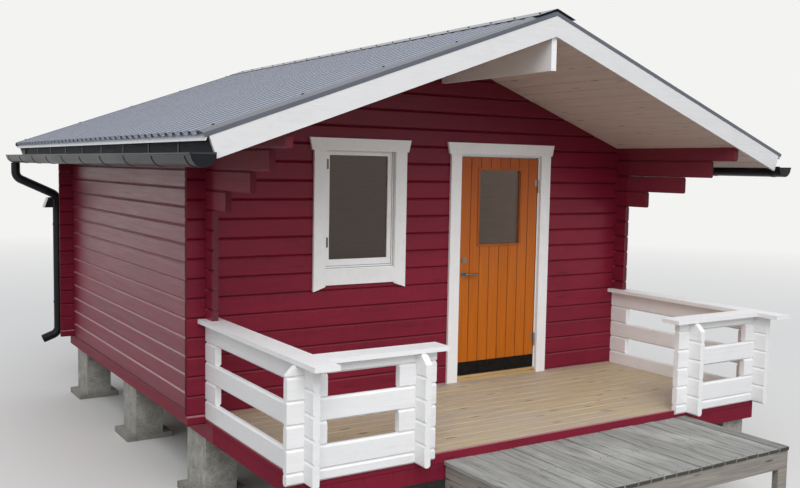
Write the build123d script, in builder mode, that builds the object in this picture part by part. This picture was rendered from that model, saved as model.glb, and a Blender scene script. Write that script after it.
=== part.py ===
"""Log-built holiday cottage with a railed porch, a long front overhang and a plank landing.

Millimetres, Z up. X runs along the front wall, Y runs from the front to the back, and the
origin lies on the ground under the middle of the house.
"""

import os
from math import ceil, cos, radians, sin, tan

from build123d import *

os.makedirs("parts", exist_ok=True)

# House
WALL_WIDTH = 4050
WALL_DEPTH = 3940
LOG_THICKNESS = 45
COURSE = 140
LOG_JOINT = 0.4
LOG_BEVEL = 12
LOG_END = 135
NOTCH_PLAY = 0.3
SEAT = 0.3

# Ground, foundation and floor
DECK_TOP = 660
SILL_DROP = 170
BASE_HEIGHT = 105
SLAB_SIZE = 400
SLAB_THICKNESS = 50
BLOCK_LENGTH = 390
BLOCK_WIDTH = 240
BLOCK_SETBACK = 30
PIER_ROWS = 3
PIER_INSET = 260
FLOOR_BOARD = 21
FLOOR_GAP = 2
DECK_BOARD = 28
JOIST_WIDTH = 45
JOIST_SPACING = 600

# Roof
RIDGE_HEIGHT = 2898
ROOF_PITCH = 19.83
ROOF_FRONT = 1340
ROOF_REAR = 225
CEILING_BOARD = 20
RAFTER_DEPTH = 125
SHEET_RISE = 20
SHEET_METAL = 1.2
RIB_PITCH = 137.5
RIB_CREST = 32
RIB_FOOT = 68
SHEET_OVERHANG = 90
RIDGE_BEAM_WIDTH = 45
RIDGE_BEAM_DEPTH = 240
RIDGE_CAP_WING = 120
RIDGE_CAP_METAL = 2
BARGE_WIDTH = 145
BARGE_THICKNESS = 22
BARGE_DROP = 8
BARGE_OVERHANG = 11
TRIM_METAL = 2
TRIM_FACE = 26
TRIM_SLOPE = 64
TRIM_SINK = 18
FASCIA_FACE = 2450
FASCIA_THICKNESS = 20
FASCIA_DROP = 12
DRIP_REACH = 60
DRIP_HEIGHT = 46
DRIP_LEAN = 17
DRIP_METAL = 1.5
GUTTER_DIAMETER = 150
GUTTER_STANDOFF = 24
GUTTER_METAL = 2
GUTTER_BEAD = 12
GUTTER_FALL = 75
GUTTER_BACK_RISE = 12
GUTTER_PROUD = 35
HOOK_WIDTH = 25
HOOK_METAL = 3
HOOK_SPACING = 600
PIPE_DIAMETER = 88
PIPE_METAL = 3
PIPE_BEND = 90
PIPE_STANDOFF = 10
PIPE_DROP = 150
PIPE_FALL = 190
PIPE_FOOT = 610
SHOE_REACH = 160
SHOE_FALL = 60
BRACKET_METAL = 3
BRACKET_WIDTH = 25
BRACKET_HEIGHTS = (945, 1785)

# Lamp on an arm at the left rear corner
LAMP_LEVEL = 2065
LAMP_REACH = 187
LAMP_ARM = 20
LAMP_PLATE = 60
LAMP_METAL = 6
LAMP_WIDTH = 86
LAMP_HEIGHT = 105
LAMP_DEPTH = 100
LAMP_LEAN = 40
LAMP_LENS = 6

# How far each of the upper side logs runs out under the overhangs, lowest first
FRONT_CORBELS = (370, 780, 1065, 1305)
REAR_CORBELS = (LOG_END, LOG_END, LOG_END, 160)

# Porch
PORCH_DEPTH = 1555
RIM_THICKNESS = 28
RAIL_DROP = 30
RAIL_HEIGHT = 700
RAIL_END = 110
RAIL_STUB = 150
POST_STUB = 140
WALL_STUB = 190
RAIL_SLANT = 60
POST_INNER = 70
CAP_WIDTH = 160
CAP_THICKNESS = 30
CAP_FRONT = 1810
CAP_END_LEFT = 53
CAP_END_RIGHT = 80
ENTRY_LEFT = -1110
ENTRY_RIGHT = 1100

# Openings in the front wall, from the middle of the wall and above the deck
CASING_THICKNESS = 22
CASING_JAMB = 103
CASING_HEAD = 94
CASING_EAR = 38
CASING_FLARE = 22
DOOR_LEFT = 183
DOOR_RIGHT = 1048
HEAD_CLEAR = 982
CASING_LAP = 7
DOOR_FRAME = 24
DOOR_FRAME_DEPTH = 90
DOOR_FRAME_LAP = 12
DOOR_REBATE = 14
LEAF_GAP = 7
LEAF_THICKNESS = 40
LEAF_RECESS = 8
LEAF_BOTTOM = 51
LEAF_HEAD = 24
LEAF_BOARDS = 8
LEAF_GROOVE = 7
DOOR_GLASS_WIDTH = 442
DOOR_GLASS_BOTTOM = 1159
DOOR_GLASS_HEAD = 106
GLASS_THICKNESS = 12
BEAD_WIDTH = 18
BEAD_PROUD = 6
BEAD_BACK = 5
KICK_HEIGHT = 110
KICK_METAL = 1.5
KICK_INSET = 2
STEP_BOARD = 22
HINGE_HEIGHT = 113
HINGE_BARREL = 14
HINGE_PLATE = 2
HINGE_WING = 30
HINGE_FOOT = 295
HINGE_HEAD = 240
LOCK_INSET = 42
LOCK_HEIGHT = 1030
LEVER_HEIGHT = 911
ROSE_DIAMETER = 50
ROSE_THICKNESS = 8
LEVER_REACH = 125
LEVER_DIAMETER = 17
LEVER_STAND = 50
LEVER_BEND = 14
LEVER_END = 4
SPINDLE_DIAMETER = 18
SPINDLE_PLAY = 1
KEYHOLE_LENGTH = 12
KEYHOLE_WIDTH = 3
WINDOW_LEFT = -1077
WINDOW_RIGHT = -459
WINDOW_BOTTOM = 1004
WINDOW_APRON = 116
APRON_LAP = 11
WINDOW_SLANT = 34
WINDOW_FRAME = 25
WINDOW_FRAME_DEPTH = 80
SASH_GAP = 3
SASH_SIDE = 52
SASH_FOOT = 65
SASH_THICKNESS = 44
SASH_RECESS = 22
SASH_STOP = 14

# Plank landing in front of the porch
LANDING_LEFT = -1030
LANDING_RIGHT = 1220
LANDING_DEPTH = 905
LANDING_GAP = 0.5
LANDING_DROP = 50
LANDING_BEAM = 120
LANDING_LEG = 95
LANDING_INSET = 10

# Places that follow from the sizes above
SIDE_FACE = WALL_WIDTH / 2
FRONT_FACE = -WALL_DEPTH / 2
REAR_FACE = WALL_DEPTH / 2
SIDE_INNER = SIDE_FACE - LOG_THICKNESS
SILL_BOTTOM = DECK_TOP - SILL_DROP
FIRST_COURSE = SILL_BOTTOM + BASE_HEIGHT
HALF_COURSE = COURSE / 2
QUARTER = COURSE / 4
TILT = radians(ROOF_PITCH)
ROOF_BUILD = CEILING_BOARD + RAFTER_DEPTH + SHEET_RISE + SHEET_METAL
SOFFIT_APEX = DECK_TOP + RIDGE_HEIGHT - ROOF_BUILD / cos(TILT)
ROOF_START = FRONT_FACE - ROOF_FRONT
ROOF_END = REAR_FACE + ROOF_REAR
BARGE_BACK_FRONT = ROOF_START + TRIM_METAL + SEAT + BARGE_THICKNESS
BARGE_BACK_REAR = ROOF_END - TRIM_METAL - SEAT - BARGE_THICKNESS
PORCH_FRONT = FRONT_FACE - PORCH_DEPTH
RAIL_BOTTOM = DECK_TOP - RAIL_DROP
RAIL_FACE = PORCH_FRONT + RIM_THICKNESS - LOG_THICKNESS
RAIL_TOP = DECK_TOP + RAIL_HEIGHT - CAP_THICKNESS
HEAD_LEVEL = RIDGE_HEIGHT - HEAD_CLEAR
LEAF_TOP = HEAD_LEVEL - LEAF_HEAD


def soffit_height(x):
    """Height of the underside of the ceiling boards at a distance from the ridge line."""
    return SOFFIT_APEX - abs(x) * tan(TILT)


def on_slope(along, up):
    """A point of the right-hand slope in the XZ plane: so far down it, so far square to it."""
    x = along * cos(TILT) + up * sin(TILT)
    z = SOFFIT_APEX - along * sin(TILT) + up * cos(TILT)
    return (x, z)


def block(x_span, y_span, z_span):
    """A plain block between two limits on each axis."""
    with BuildPart() as made:
        with BuildSketch(Plane.XY.offset(z_span[0])):
            with Locations(((x_span[0] + x_span[1]) / 2, (y_span[0] + y_span[1]) / 2)):
                Rectangle(x_span[1] - x_span[0], y_span[1] - y_span[0])
        extrude(amount=z_span[1] - z_span[0])
    return made.part


def log(along, span, outer, thickness, bottom, top, notches=()):
    """A log on edge with bevelled arrises, notched top and bottom where others cross it.

    along is "x" or "y", span its ends, and outer and thickness its place on the other axis.
    Each notch is (centre, width, cut from below, cut from above).
    """
    height = top - bottom
    bevel = min(LOG_BEVEL, height / 4)
    middle = (outer + thickness / 2, (bottom + top) / 2)
    plane = Plane.YZ.offset(span[0]) if along == "x" else Plane.XZ.offset(-span[1])
    with BuildPart() as made:
        with BuildSketch(plane) as section:
            with Locations(middle):
                Rectangle(thickness, height)
            chamfer(section.vertices(), bevel)
        extrude(amount=span[1] - span[0])
        for centre, width, below, above in notches:
            for cut, level in ((below, bottom), (above, top)):
                if cut > 0:
                    across = (centre, outer + thickness / 2) if along == "x" else (
                        outer + thickness / 2, centre)
                    size = (width, 3 * thickness) if along == "x" else (3 * thickness, width)
                    with Locations((across[0], across[1], level)):
                        Box(size[0], size[1], 2 * cut, mode=Mode.SUBTRACT)
    return made.part


def under_roof():
    """The space under both slopes, to trim the logs that meet the roof."""
    reach = 2 * SIDE_FACE
    with BuildPart() as made:
        with BuildSketch(Plane.XZ.offset(-2 * WALL_DEPTH)):
            with BuildLine():
                Polyline(
                    (-reach, 0), (reach, 0), (reach, soffit_height(reach) - SEAT),
                    (0, SOFFIT_APEX - SEAT), (-reach, soffit_height(reach) - SEAT), close=True)
            make_face()
        extrude(amount=4 * WALL_DEPTH)
    return made.part


ROOF_SPACE = under_roof()


def trimmed(solid):
    """A log cut off under the roof."""
    with BuildPart() as made:
        add(solid)
        add(ROOF_SPACE, mode=Mode.INTERSECT)
    return made.part


def gather(label, solids):
    """One node: several solids that don't touch, written to its own file."""
    with BuildPart() as node:
        add(solids)
    save(label, node.part)


def save(label, part):
    """Give a finished piece its name and write it."""
    part.label = label
    export_step(part, f"parts/{label}.step")


def both_sides(solid):
    """A piece of the right side and its mirror image on the left one."""
    with BuildPart() as other:
        add(mirror(solid, about=Plane.YZ))
    return [solid, other.part]


# Concrete footing slabs and two blocks on each, to the lowest ground
row_spacing = (WALL_DEPTH - 2 * PIER_INSET) / (PIER_ROWS - 1)
pier_rows = [FRONT_FACE + PIER_INSET + row * row_spacing for row in range(PIER_ROWS)]
pier_rows.append(PORCH_FRONT + PIER_INSET)
side_line = SIDE_FACE - BLOCK_SETBACK - BLOCK_WIDTH / 2
pier_places = [(x, y) for x in (-side_line, 0, side_line) for y in pier_rows]
block_height = (SILL_BOTTOM - SLAB_THICKNESS) / 2 - SEAT

with BuildPart() as footing_slabs:
    with BuildSketch():
        with Locations(pier_places):
            Rectangle(SLAB_SIZE, SLAB_SIZE)
    extrude(amount=SLAB_THICKNESS)
save("footing_slabs", footing_slabs.part)

with BuildPart() as pier_blocks:
    for stage in range(2):
        with BuildSketch(Plane.XY.offset(SLAB_THICKNESS + SEAT + stage * (block_height + SEAT))):
            with Locations(pier_places):
                Rectangle(BLOCK_WIDTH, BLOCK_LENGTH)
        extrude(amount=block_height - SEAT)
save("pier_blocks", pier_blocks.part)

# Base beams all round, and the half logs that start the front and rear walls
base_solids = []
for side in (-1, 1):
    edges = sorted((side * SIDE_FACE, side * SIDE_INNER))
    base_solids.append(
        block(edges, (FRONT_FACE, REAR_FACE + LOG_END), (SILL_BOTTOM, FIRST_COURSE - LOG_JOINT)))
between = SIDE_INNER - LOG_JOINT
half_end = SIDE_FACE + LOG_END
crossing = LOG_THICKNESS + 2 * NOTCH_PLAY
corner_centre = SIDE_FACE - LOG_THICKNESS / 2
for outer in (FRONT_FACE, REAR_FACE - LOG_THICKNESS):
    base_solids.append(
        block((-between, between), (outer, outer + LOG_THICKNESS),
              (SILL_BOTTOM, FIRST_COURSE - LOG_JOINT)))
    corner_cuts = [(s * corner_centre, crossing, 0, QUARTER + NOTCH_PLAY) for s in (-1, 1)]
    base_solids.append(
        log("x", (-half_end, half_end), outer, LOG_THICKNESS, FIRST_COURSE,
            FIRST_COURSE + HALF_COURSE - LOG_JOINT, corner_cuts))
gather("base_beams", base_solids)

# Joists on the piers, and the floor inside
joist_top = DECK_TOP - FLOOR_BOARD - SEAT
bays = 2 * ceil((WALL_DEPTH - 2 * LOG_THICKNESS) / JOIST_SPACING / 2)
first_joist = FRONT_FACE + LOG_THICKNESS + JOIST_WIDTH
joist_step = (WALL_DEPTH - 2 * LOG_THICKNESS - 2 * JOIST_WIDTH) / bays
joist_solids = []
for bay in range(bays + 1):
    centre = first_joist + bay * joist_step
    joist_solids.append(
        block((-between, between), (centre - JOIST_WIDTH / 2, centre + JOIST_WIDTH / 2),
              (SILL_BOTTOM + SEAT, joist_top)))
porch_joist_top = DECK_TOP - DECK_BOARD - SEAT
porch_bays = 2 * ceil(2 * SIDE_INNER / JOIST_SPACING / 2)
for bay in range(porch_bays + 1):
    centre = -SIDE_INNER + JOIST_WIDTH + bay * (2 * SIDE_INNER - 2 * JOIST_WIDTH) / porch_bays
    joist_solids.append(
        block((centre - JOIST_WIDTH / 2, centre + JOIST_WIDTH / 2),
              (PORCH_FRONT + RIM_THICKNESS + SEAT, FRONT_FACE - SEAT),
              (SILL_BOTTOM + SEAT, porch_joist_top)))
gather("joists", joist_solids)

floor_inset = LOG_THICKNESS + FLOOR_GAP
with BuildPart() as floor:
    with BuildSketch(Plane.XY.offset(DECK_TOP - FLOOR_BOARD)):
        Rectangle(WALL_WIDTH - 2 * floor_inset, WALL_DEPTH - 2 * floor_inset)
    extrude(amount=FLOOR_BOARD)
save("floor", floor.part)

# Side walls: crossed logs with half-lapped corners, the top ones run out as corbels
side_courses = ceil((soffit_height(SIDE_INNER) - FIRST_COURSE) / COURSE)
corbelled = side_courses - len(FRONT_CORBELS)
corner_cut = QUARTER + NOTCH_PLAY / 2


def side_log(side, course):
    """One course of a side wall, with its notches at both corners."""
    bottom = FIRST_COURSE + course * COURSE
    top = bottom + COURSE - LOG_JOINT
    last = course == side_courses - 1
    front_run = LOG_END
    rear_run = LOG_END
    if course >= corbelled:
        front_run = FRONT_CORBELS[course - corbelled]
        rear_run = REAR_CORBELS[course - corbelled]
    if bottom + HALF_COURSE < DECK_TOP + RAIL_HEIGHT - HALF_COURSE:
        front_run = 0
    above = 0 if last else corner_cut
    cuts = [(FRONT_FACE + LOG_THICKNESS / 2, crossing, corner_cut, above),
            (REAR_FACE - LOG_THICKNESS / 2, crossing, corner_cut, above)]
    outer = SIDE_INNER if side > 0 else -SIDE_FACE
    solid = log("y", (FRONT_FACE - front_run, REAR_FACE + rear_run), outer, LOG_THICKNESS,
                bottom, top, cuts)
    cap_level = DECK_TOP + RAIL_HEIGHT + SEAT
    if front_run > 0 and bottom < cap_level:
        with BuildPart() as notched:
            add(solid)
            with Locations((outer + LOG_THICKNESS / 2, FRONT_FACE - front_run, bottom)):
                Box(3 * LOG_THICKNESS, 2 * front_run, 2 * (cap_level - bottom),
                    mode=Mode.SUBTRACT)
        solid = notched.part
    return trimmed(solid) if last else solid


for side, name in ((-1, "left_wall"), (1, "right_wall")):
    gather(name, [side_log(side, course) for course in range(side_courses)])

# Front and rear walls: courses lie half a log higher than those of the sides
front_first = FIRST_COURSE + HALF_COURSE
head_course = ceil((DECK_TOP + HEAD_LEVEL - front_first) / COURSE)
eave_courses = side_courses - 1
gable_end = SIDE_INNER - LOG_JOINT
beam_side = RIDGE_BEAM_WIDTH / 2 + NOTCH_PLAY
beam_foot = SOFFIT_APEX - RIDGE_BEAM_DEPTH


def cross_log(course, outer, ends):
    """One course of the front or rear wall below the eaves, between two places."""
    bottom = front_first + course * COURSE
    top = bottom + COURSE - LOG_JOINT
    cuts = []
    for side in (-1, 1):
        if ends[0] < side * corner_centre < ends[1]:
            cuts.append((side * corner_centre, crossing, corner_cut, corner_cut))
    solid = log("x", ends, outer, LOG_THICKNESS, bottom, top, cuts)
    return trimmed(solid) if top > soffit_height(half_end) else solid


def gable_logs(outer):
    """The courses above the side walls, trimmed to the slopes and cut out for the ridge beam."""
    made = []
    bottom = front_first + eave_courses * COURSE
    while bottom < SOFFIT_APEX - HALF_COURSE:
        top = bottom + COURSE
        if top > SOFFIT_APEX - HALF_COURSE:
            top = SOFFIT_APEX
        with BuildPart() as course:
            add(log("x", (-gable_end, gable_end), outer, LOG_THICKNESS, bottom, top - LOG_JOINT))
            add(ROOF_SPACE, mode=Mode.INTERSECT)
            with Locations((0, outer + LOG_THICKNESS / 2, beam_foot - SEAT + COURSE)):
                Box(2 * beam_side, 3 * LOG_THICKNESS, 2 * COURSE, mode=Mode.SUBTRACT)
        made.append(course.part)
        bottom = top
    return made


rear_outer = REAR_FACE - LOG_THICKNESS
rear_logs = [cross_log(c, rear_outer, (-half_end, half_end)) for c in range(eave_courses)]
gather("rear_wall", rear_logs)
gather("rear_gable", gable_logs(rear_outer))
gather("front_gable", gable_logs(FRONT_FACE))

window_hole = (WINDOW_LEFT - WINDOW_FRAME - SASH_GAP - CASING_LAP,
               WINDOW_RIGHT + WINDOW_FRAME + SASH_GAP + CASING_LAP)
door_hole = (DOOR_LEFT - DOOR_FRAME_LAP - LEAF_GAP, DOOR_RIGHT + DOOR_FRAME_LAP + LEAF_GAP)
window_course = round((DECK_TOP + WINDOW_BOTTOM - front_first) / COURSE)
left_logs = []
right_logs = []
for course in range(head_course):
    if course < window_course:
        left_logs.append(cross_log(course, FRONT_FACE, (-half_end, door_hole[0])))
    else:
        left_logs.append(cross_log(course, FRONT_FACE, (-half_end, window_hole[0])))
        left_logs.append(cross_log(course, FRONT_FACE, (window_hole[1], door_hole[0])))
    right_logs.append(cross_log(course, FRONT_FACE, (door_hole[1], half_end)))
over_logs = [cross_log(c, FRONT_FACE, (-half_end, half_end))
             for c in range(head_course, eave_courses)]
gather("front_wall_left", left_logs + over_logs)
gather("front_wall_right", right_logs)

# Ridge beam through both gables
with BuildPart() as ridge_beam:
    with BuildSketch(Plane.XZ.offset(-(BARGE_BACK_REAR - SEAT))):
        beam_top = soffit_height(RIDGE_BEAM_WIDTH / 2) - SEAT
        with Locations((0, (beam_foot + beam_top) / 2)):
            Rectangle(RIDGE_BEAM_WIDTH, beam_top - beam_foot)
    extrude(amount=BARGE_BACK_REAR - BARGE_BACK_FRONT - 2 * SEAT)
save("ridge_beam", ridge_beam.part)


def slope_slab(low, high, y_span, outer_face):
    """Both halves of one layer of the roof, between two heights square to the slope."""
    apex_gap = LOG_JOINT / 2
    with BuildPart() as right:
        with BuildSketch(Plane.XZ.offset(-y_span[1])):
            with BuildLine():
                points = []
                for x, up in ((apex_gap, low), (outer_face, low), (outer_face, high),
                              (apex_gap, high)):
                    points.append((x, soffit_height(x) + up / cos(TILT)))
                Polyline(points, close=True)
            make_face()
        extrude(amount=y_span[1] - y_span[0])
    return both_sides(right.part)


roof_span = (BARGE_BACK_FRONT + SEAT, BARGE_BACK_REAR - SEAT)
fascia_back = FASCIA_FACE - FASCIA_THICKNESS
gather("ceiling_boards", slope_slab(0, CEILING_BOARD, roof_span, fascia_back - SEAT))
gather("rafter_panels",
       slope_slab(CEILING_BOARD + SEAT, CEILING_BOARD + RAFTER_DEPTH - SEAT, roof_span,
                  fascia_back - SEAT))


def on_roof(height):
    """The plane whose Z runs down the right-hand slope from the ridge, at a height above it."""
    start = (height * sin(TILT), 0, SOFFIT_APEX + height * cos(TILT))
    return Plane(origin=start, x_dir=(0, 1, 0), z_dir=(cos(TILT), 0, -sin(TILT)))


# Trapezoid roofing sheets, their ribs running down the slope
sheet_foot = CEILING_BOARD + RAFTER_DEPTH
slope_length = (FASCIA_FACE + SHEET_OVERHANG - sheet_foot * sin(TILT)) / cos(TILT)
first_rib = ROOF_START + TRIM_SLOPE + RIB_CREST / 2
rib_spaces = round((ROOF_END + ROOF_START - 2 * first_rib) / RIB_PITCH)
rib_step = (ROOF_END + ROOF_START - 2 * first_rib) / rib_spaces
sheet_start = ROOF_START + TRIM_METAL + SEAT
sheet_end = ROOF_END - TRIM_METAL - SEAT
upper = [(sheet_start, SHEET_METAL)]
for rib in range(rib_spaces + 1):
    centre = first_rib + rib * rib_step
    for offset, rise in ((-RIB_FOOT / 2, 0), (-RIB_CREST / 2, SHEET_RISE),
                         (RIB_CREST / 2, SHEET_RISE), (RIB_FOOT / 2, 0)):
        upper.append((centre + offset, SHEET_METAL + rise))
upper.append((sheet_end, SHEET_METAL))
lower = [(y, up - SHEET_METAL) for y, up in reversed(upper)]
with BuildPart() as roof_sheet_right:
    with BuildSketch(on_roof(sheet_foot)):
        with BuildLine():
            Polyline(upper + lower, close=True)
        make_face()
    extrude(amount=slope_length)
save("roof_sheet_right", roof_sheet_right.part)
with BuildPart() as roof_sheet_left:
    add(mirror(roof_sheet_right.part, about=Plane.YZ))
save("roof_sheet_left", roof_sheet_left.part)

# Metal trims along the gables: flat on the first rib, then sloping out to a folded edge
trim_low = ROOF_BUILD + SEAT
trim_rest = TRIM_SLOPE + RIB_CREST
trim_solids = []
for edge, inward in ((ROOF_START, 1), (ROOF_END, -1)):
    with BuildPart() as trim_right:
        with BuildSketch(on_roof(trim_low).offset(-trim_rest)):
            with BuildLine():
                Polyline(
                    (edge, TRIM_METAL - TRIM_SINK), (edge + inward * TRIM_SLOPE, TRIM_METAL),
                    (edge + inward * trim_rest, TRIM_METAL), (edge + inward * trim_rest, 0),
                    (edge + inward * TRIM_SLOPE, 0), (edge + inward * TRIM_METAL, -TRIM_SINK),
                    (edge + inward * TRIM_METAL, TRIM_METAL - TRIM_SINK - TRIM_FACE),
                    (edge, TRIM_METAL - TRIM_SINK - TRIM_FACE), close=True)
            make_face()
        extrude(amount=slope_length + trim_rest)
        split(bisect_by=Plane.YZ.offset(LOG_JOINT / 2), keep=Keep.TOP)
    trim_solids += both_sides(trim_right.part)
gather("verge_trims", trim_solids)

# Ridge cap over the crests and the trims
cap_low = trim_low + TRIM_METAL + SEAT
with BuildPart() as ridge_cap:
    with BuildSketch(Plane.XZ.offset(-ROOF_END)):
        with BuildLine():
            low_end = on_slope(RIDGE_CAP_WING, cap_low)
            high_end = on_slope(RIDGE_CAP_WING, cap_low + RIDGE_CAP_METAL)
            low_apex = (0, SOFFIT_APEX + cap_low / cos(TILT))
            high_apex = (0, SOFFIT_APEX + (cap_low + RIDGE_CAP_METAL) / cos(TILT))
            Polyline((-low_end[0], low_end[1]), low_apex, low_end, high_end, high_apex,
                     (-high_end[0], high_end[1]), close=True)
        make_face()
    extrude(amount=ROOF_END - ROOF_START)
save("ridge_cap", ridge_cap.part)

# Bargeboards, square-ended and mitred at the ridge
barge_length = (FASCIA_FACE + BARGE_OVERHANG + BARGE_DROP * sin(TILT)) / cos(TILT)
barge_solids = []
for front in (ROOF_START + TRIM_METAL + SEAT, BARGE_BACK_REAR):
    with BuildPart() as barge_right:
        with BuildSketch(Plane.XZ.offset(-(front + BARGE_THICKNESS))):
            with BuildLine():
                mitre = LOG_JOINT / 2
                over = BARGE_WIDTH - BARGE_DROP
                Polyline(
                    (mitre, soffit_height(mitre) - BARGE_DROP / cos(TILT)),
                    (mitre, soffit_height(mitre) + over / cos(TILT)),
                    on_slope(barge_length, over), on_slope(barge_length, -BARGE_DROP), close=True)
            make_face()
        extrude(amount=BARGE_THICKNESS)
    barge_solids += both_sides(barge_right.part)
gather("bargeboards", barge_solids)


def under_sheet(x):
    """Height of the seat under the roofing sheet's pans at a distance from the ridge line."""
    return soffit_height(x) + (sheet_foot - SEAT) / cos(TILT)


# Fascias, drip flashings, gutters and their hooks along both eaves
drip_corner = FASCIA_FACE + DRIP_REACH
drip_edge = under_sheet(drip_corner) - DRIP_HEIGHT
fascia_top = under_sheet(FASCIA_FACE) - DRIP_METAL / cos(TILT) - SEAT
fascia_bottom = soffit_height(fascia_back) - FASCIA_DROP
drip_span = (sheet_start, sheet_end)
gutter_radius = GUTTER_DIAMETER / 2
gutter_x = FASCIA_FACE + GUTTER_STANDOFF + HOOK_METAL + gutter_radius
gutter_z = drip_edge - GUTTER_FALL
gutter_span = (ROOF_START - GUTTER_PROUD, ROOF_END + GUTTER_PROUD)

gather("fascia_boards", both_sides(
    block((fascia_back, FASCIA_FACE), roof_span, (fascia_bottom, fascia_top))))

with BuildPart() as drip_flashing:
    with BuildSketch(Plane.XZ.offset(-drip_span[1])):
        with BuildLine():
            inner = drip_corner - DRIP_METAL
            fold = DRIP_METAL / cos(TILT)
            Polyline(
                (fascia_back, under_sheet(fascia_back)), (drip_corner, under_sheet(drip_corner)),
                (drip_corner + DRIP_LEAN, drip_edge), (inner + DRIP_LEAN, drip_edge),
                (inner, under_sheet(inner) - fold),
                (fascia_back, under_sheet(fascia_back) - fold), close=True)
        make_face()
    extrude(amount=drip_span[1] - drip_span[0])
gather("drip_flashings", both_sides(drip_flashing.part))

with BuildPart() as gutter_right:
    with BuildSketch(Plane.XZ.offset(-gutter_span[1])):
        with Locations((gutter_x, gutter_z)):
            Circle(gutter_radius)
            Circle(gutter_radius - GUTTER_METAL, mode=Mode.SUBTRACT)
        with Locations((gutter_x, gutter_z + gutter_radius)):
            Rectangle(3 * gutter_radius, 2 * gutter_radius, mode=Mode.SUBTRACT)
        with Locations((gutter_x - gutter_radius + GUTTER_METAL / 2,
                        gutter_z + GUTTER_BACK_RISE / 2)):
            Rectangle(GUTTER_METAL, GUTTER_BACK_RISE)
        with Locations((gutter_x + gutter_radius, gutter_z)):
            Circle(GUTTER_BEAD / 2)
    extrude(amount=gutter_span[1] - gutter_span[0])
    for end in gutter_span:
        with BuildSketch(Plane.XZ.offset(-end if end > 0 else -(end + GUTTER_METAL))):
            with Locations((gutter_x, gutter_z)):
                Circle(gutter_radius)
            with Locations((gutter_x, gutter_z + gutter_radius)):
                Rectangle(3 * gutter_radius, 2 * gutter_radius, mode=Mode.SUBTRACT)
        extrude(amount=GUTTER_METAL)
save("gutter_right", gutter_right.part)
with BuildPart() as gutter_left:
    add(mirror(gutter_right.part, about=Plane.YZ))
save("gutter_left", gutter_left.part)

# Each hook is a strap down the fascia, a step out from it and a half ring under the gutter
hook_count = round((roof_span[1] - roof_span[0]) / HOOK_SPACING)
hook_step = (roof_span[1] - roof_span[0] - 4 * HOOK_WIDTH) / hook_count
hook_inner = gutter_radius + SEAT
strap_x = FASCIA_FACE + SEAT
strap_top = fascia_top - HOOK_WIDTH
step_z = gutter_z - GUTTER_BEAD - HOOK_METAL
hook_back = gutter_x - hook_inner
with BuildPart() as hooks_right:
    for hook in range(hook_count + 1):
        centre = roof_span[0] + 2 * HOOK_WIDTH + hook * hook_step
        with BuildSketch(Plane.XZ.offset(-(centre + HOOK_WIDTH / 2))):
            with Locations((gutter_x, gutter_z)):
                Circle(hook_inner + HOOK_METAL)
                Circle(hook_inner, mode=Mode.SUBTRACT)
            with Locations((gutter_x, gutter_z + gutter_radius - GUTTER_BEAD)):
                Rectangle(4 * gutter_radius, 2 * gutter_radius, mode=Mode.SUBTRACT)
            with Locations((strap_x + HOOK_METAL / 2, (step_z + strap_top) / 2)):
                Rectangle(HOOK_METAL, strap_top - step_z)
            with Locations(((strap_x + hook_back) / 2, step_z + HOOK_METAL / 2)):
                Rectangle(hook_back - strap_x, HOOK_METAL)
        extrude(amount=HOOK_WIDTH)
gather("gutter_hooks", both_sides(hooks_right.part))

# Downpipes from the gutters' rear ends to the back corners, held by clamps on the log ends
log_ends = REAR_FACE + LOG_END
pipe_x = SIDE_FACE + LOG_END - PIPE_DIAMETER / 4
pipe_y = log_ends + PIPE_STANDOFF + PIPE_DIAMETER / 2
outlet_y = gutter_span[1] - PIPE_DIAMETER
outlet_z = gutter_z - gutter_radius - SEAT
knee_z = outlet_z - PIPE_DROP
with BuildPart() as pipe_right:
    with BuildLine() as route:
        FilletPolyline(
            (gutter_x, outlet_y, outlet_z), (gutter_x, outlet_y, knee_z),
            (pipe_x, pipe_y, knee_z - PIPE_FALL), (pipe_x, pipe_y, PIPE_FOOT),
            (pipe_x + SHOE_REACH, pipe_y, PIPE_FOOT - SHOE_FALL), radius=PIPE_BEND)
    with BuildSketch(Plane(origin=route.line @ 0, z_dir=route.line % 0)):
        Circle(PIPE_DIAMETER / 2)
        Circle(PIPE_DIAMETER / 2 - PIPE_METAL, mode=Mode.SUBTRACT)
    sweep()
save("downpipe_right", pipe_right.part)
with BuildPart() as pipe_left:
    add(mirror(pipe_right.part, about=Plane.YZ))
save("downpipe_left", pipe_left.part)

clamp_inner = PIPE_DIAMETER / 2 + SEAT
plate_depth = PIPE_STANDOFF - 2 * SEAT
bracket_solids = []
for height in BRACKET_HEIGHTS:
    with BuildPart() as bracket:
        with BuildSketch(Plane.XY.offset(height - BRACKET_WIDTH / 2)):
            with Locations(((SIDE_INNER + pipe_x) / 2, log_ends + SEAT + plate_depth / 2)):
                Rectangle(pipe_x - SIDE_INNER, plate_depth)
            with Locations((pipe_x, pipe_y)):
                Circle(clamp_inner + BRACKET_METAL)
                Circle(clamp_inner, mode=Mode.SUBTRACT)
        extrude(amount=BRACKET_WIDTH)
    bracket_solids += both_sides(bracket.part)
gather("pipe_brackets", bracket_solids)

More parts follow.
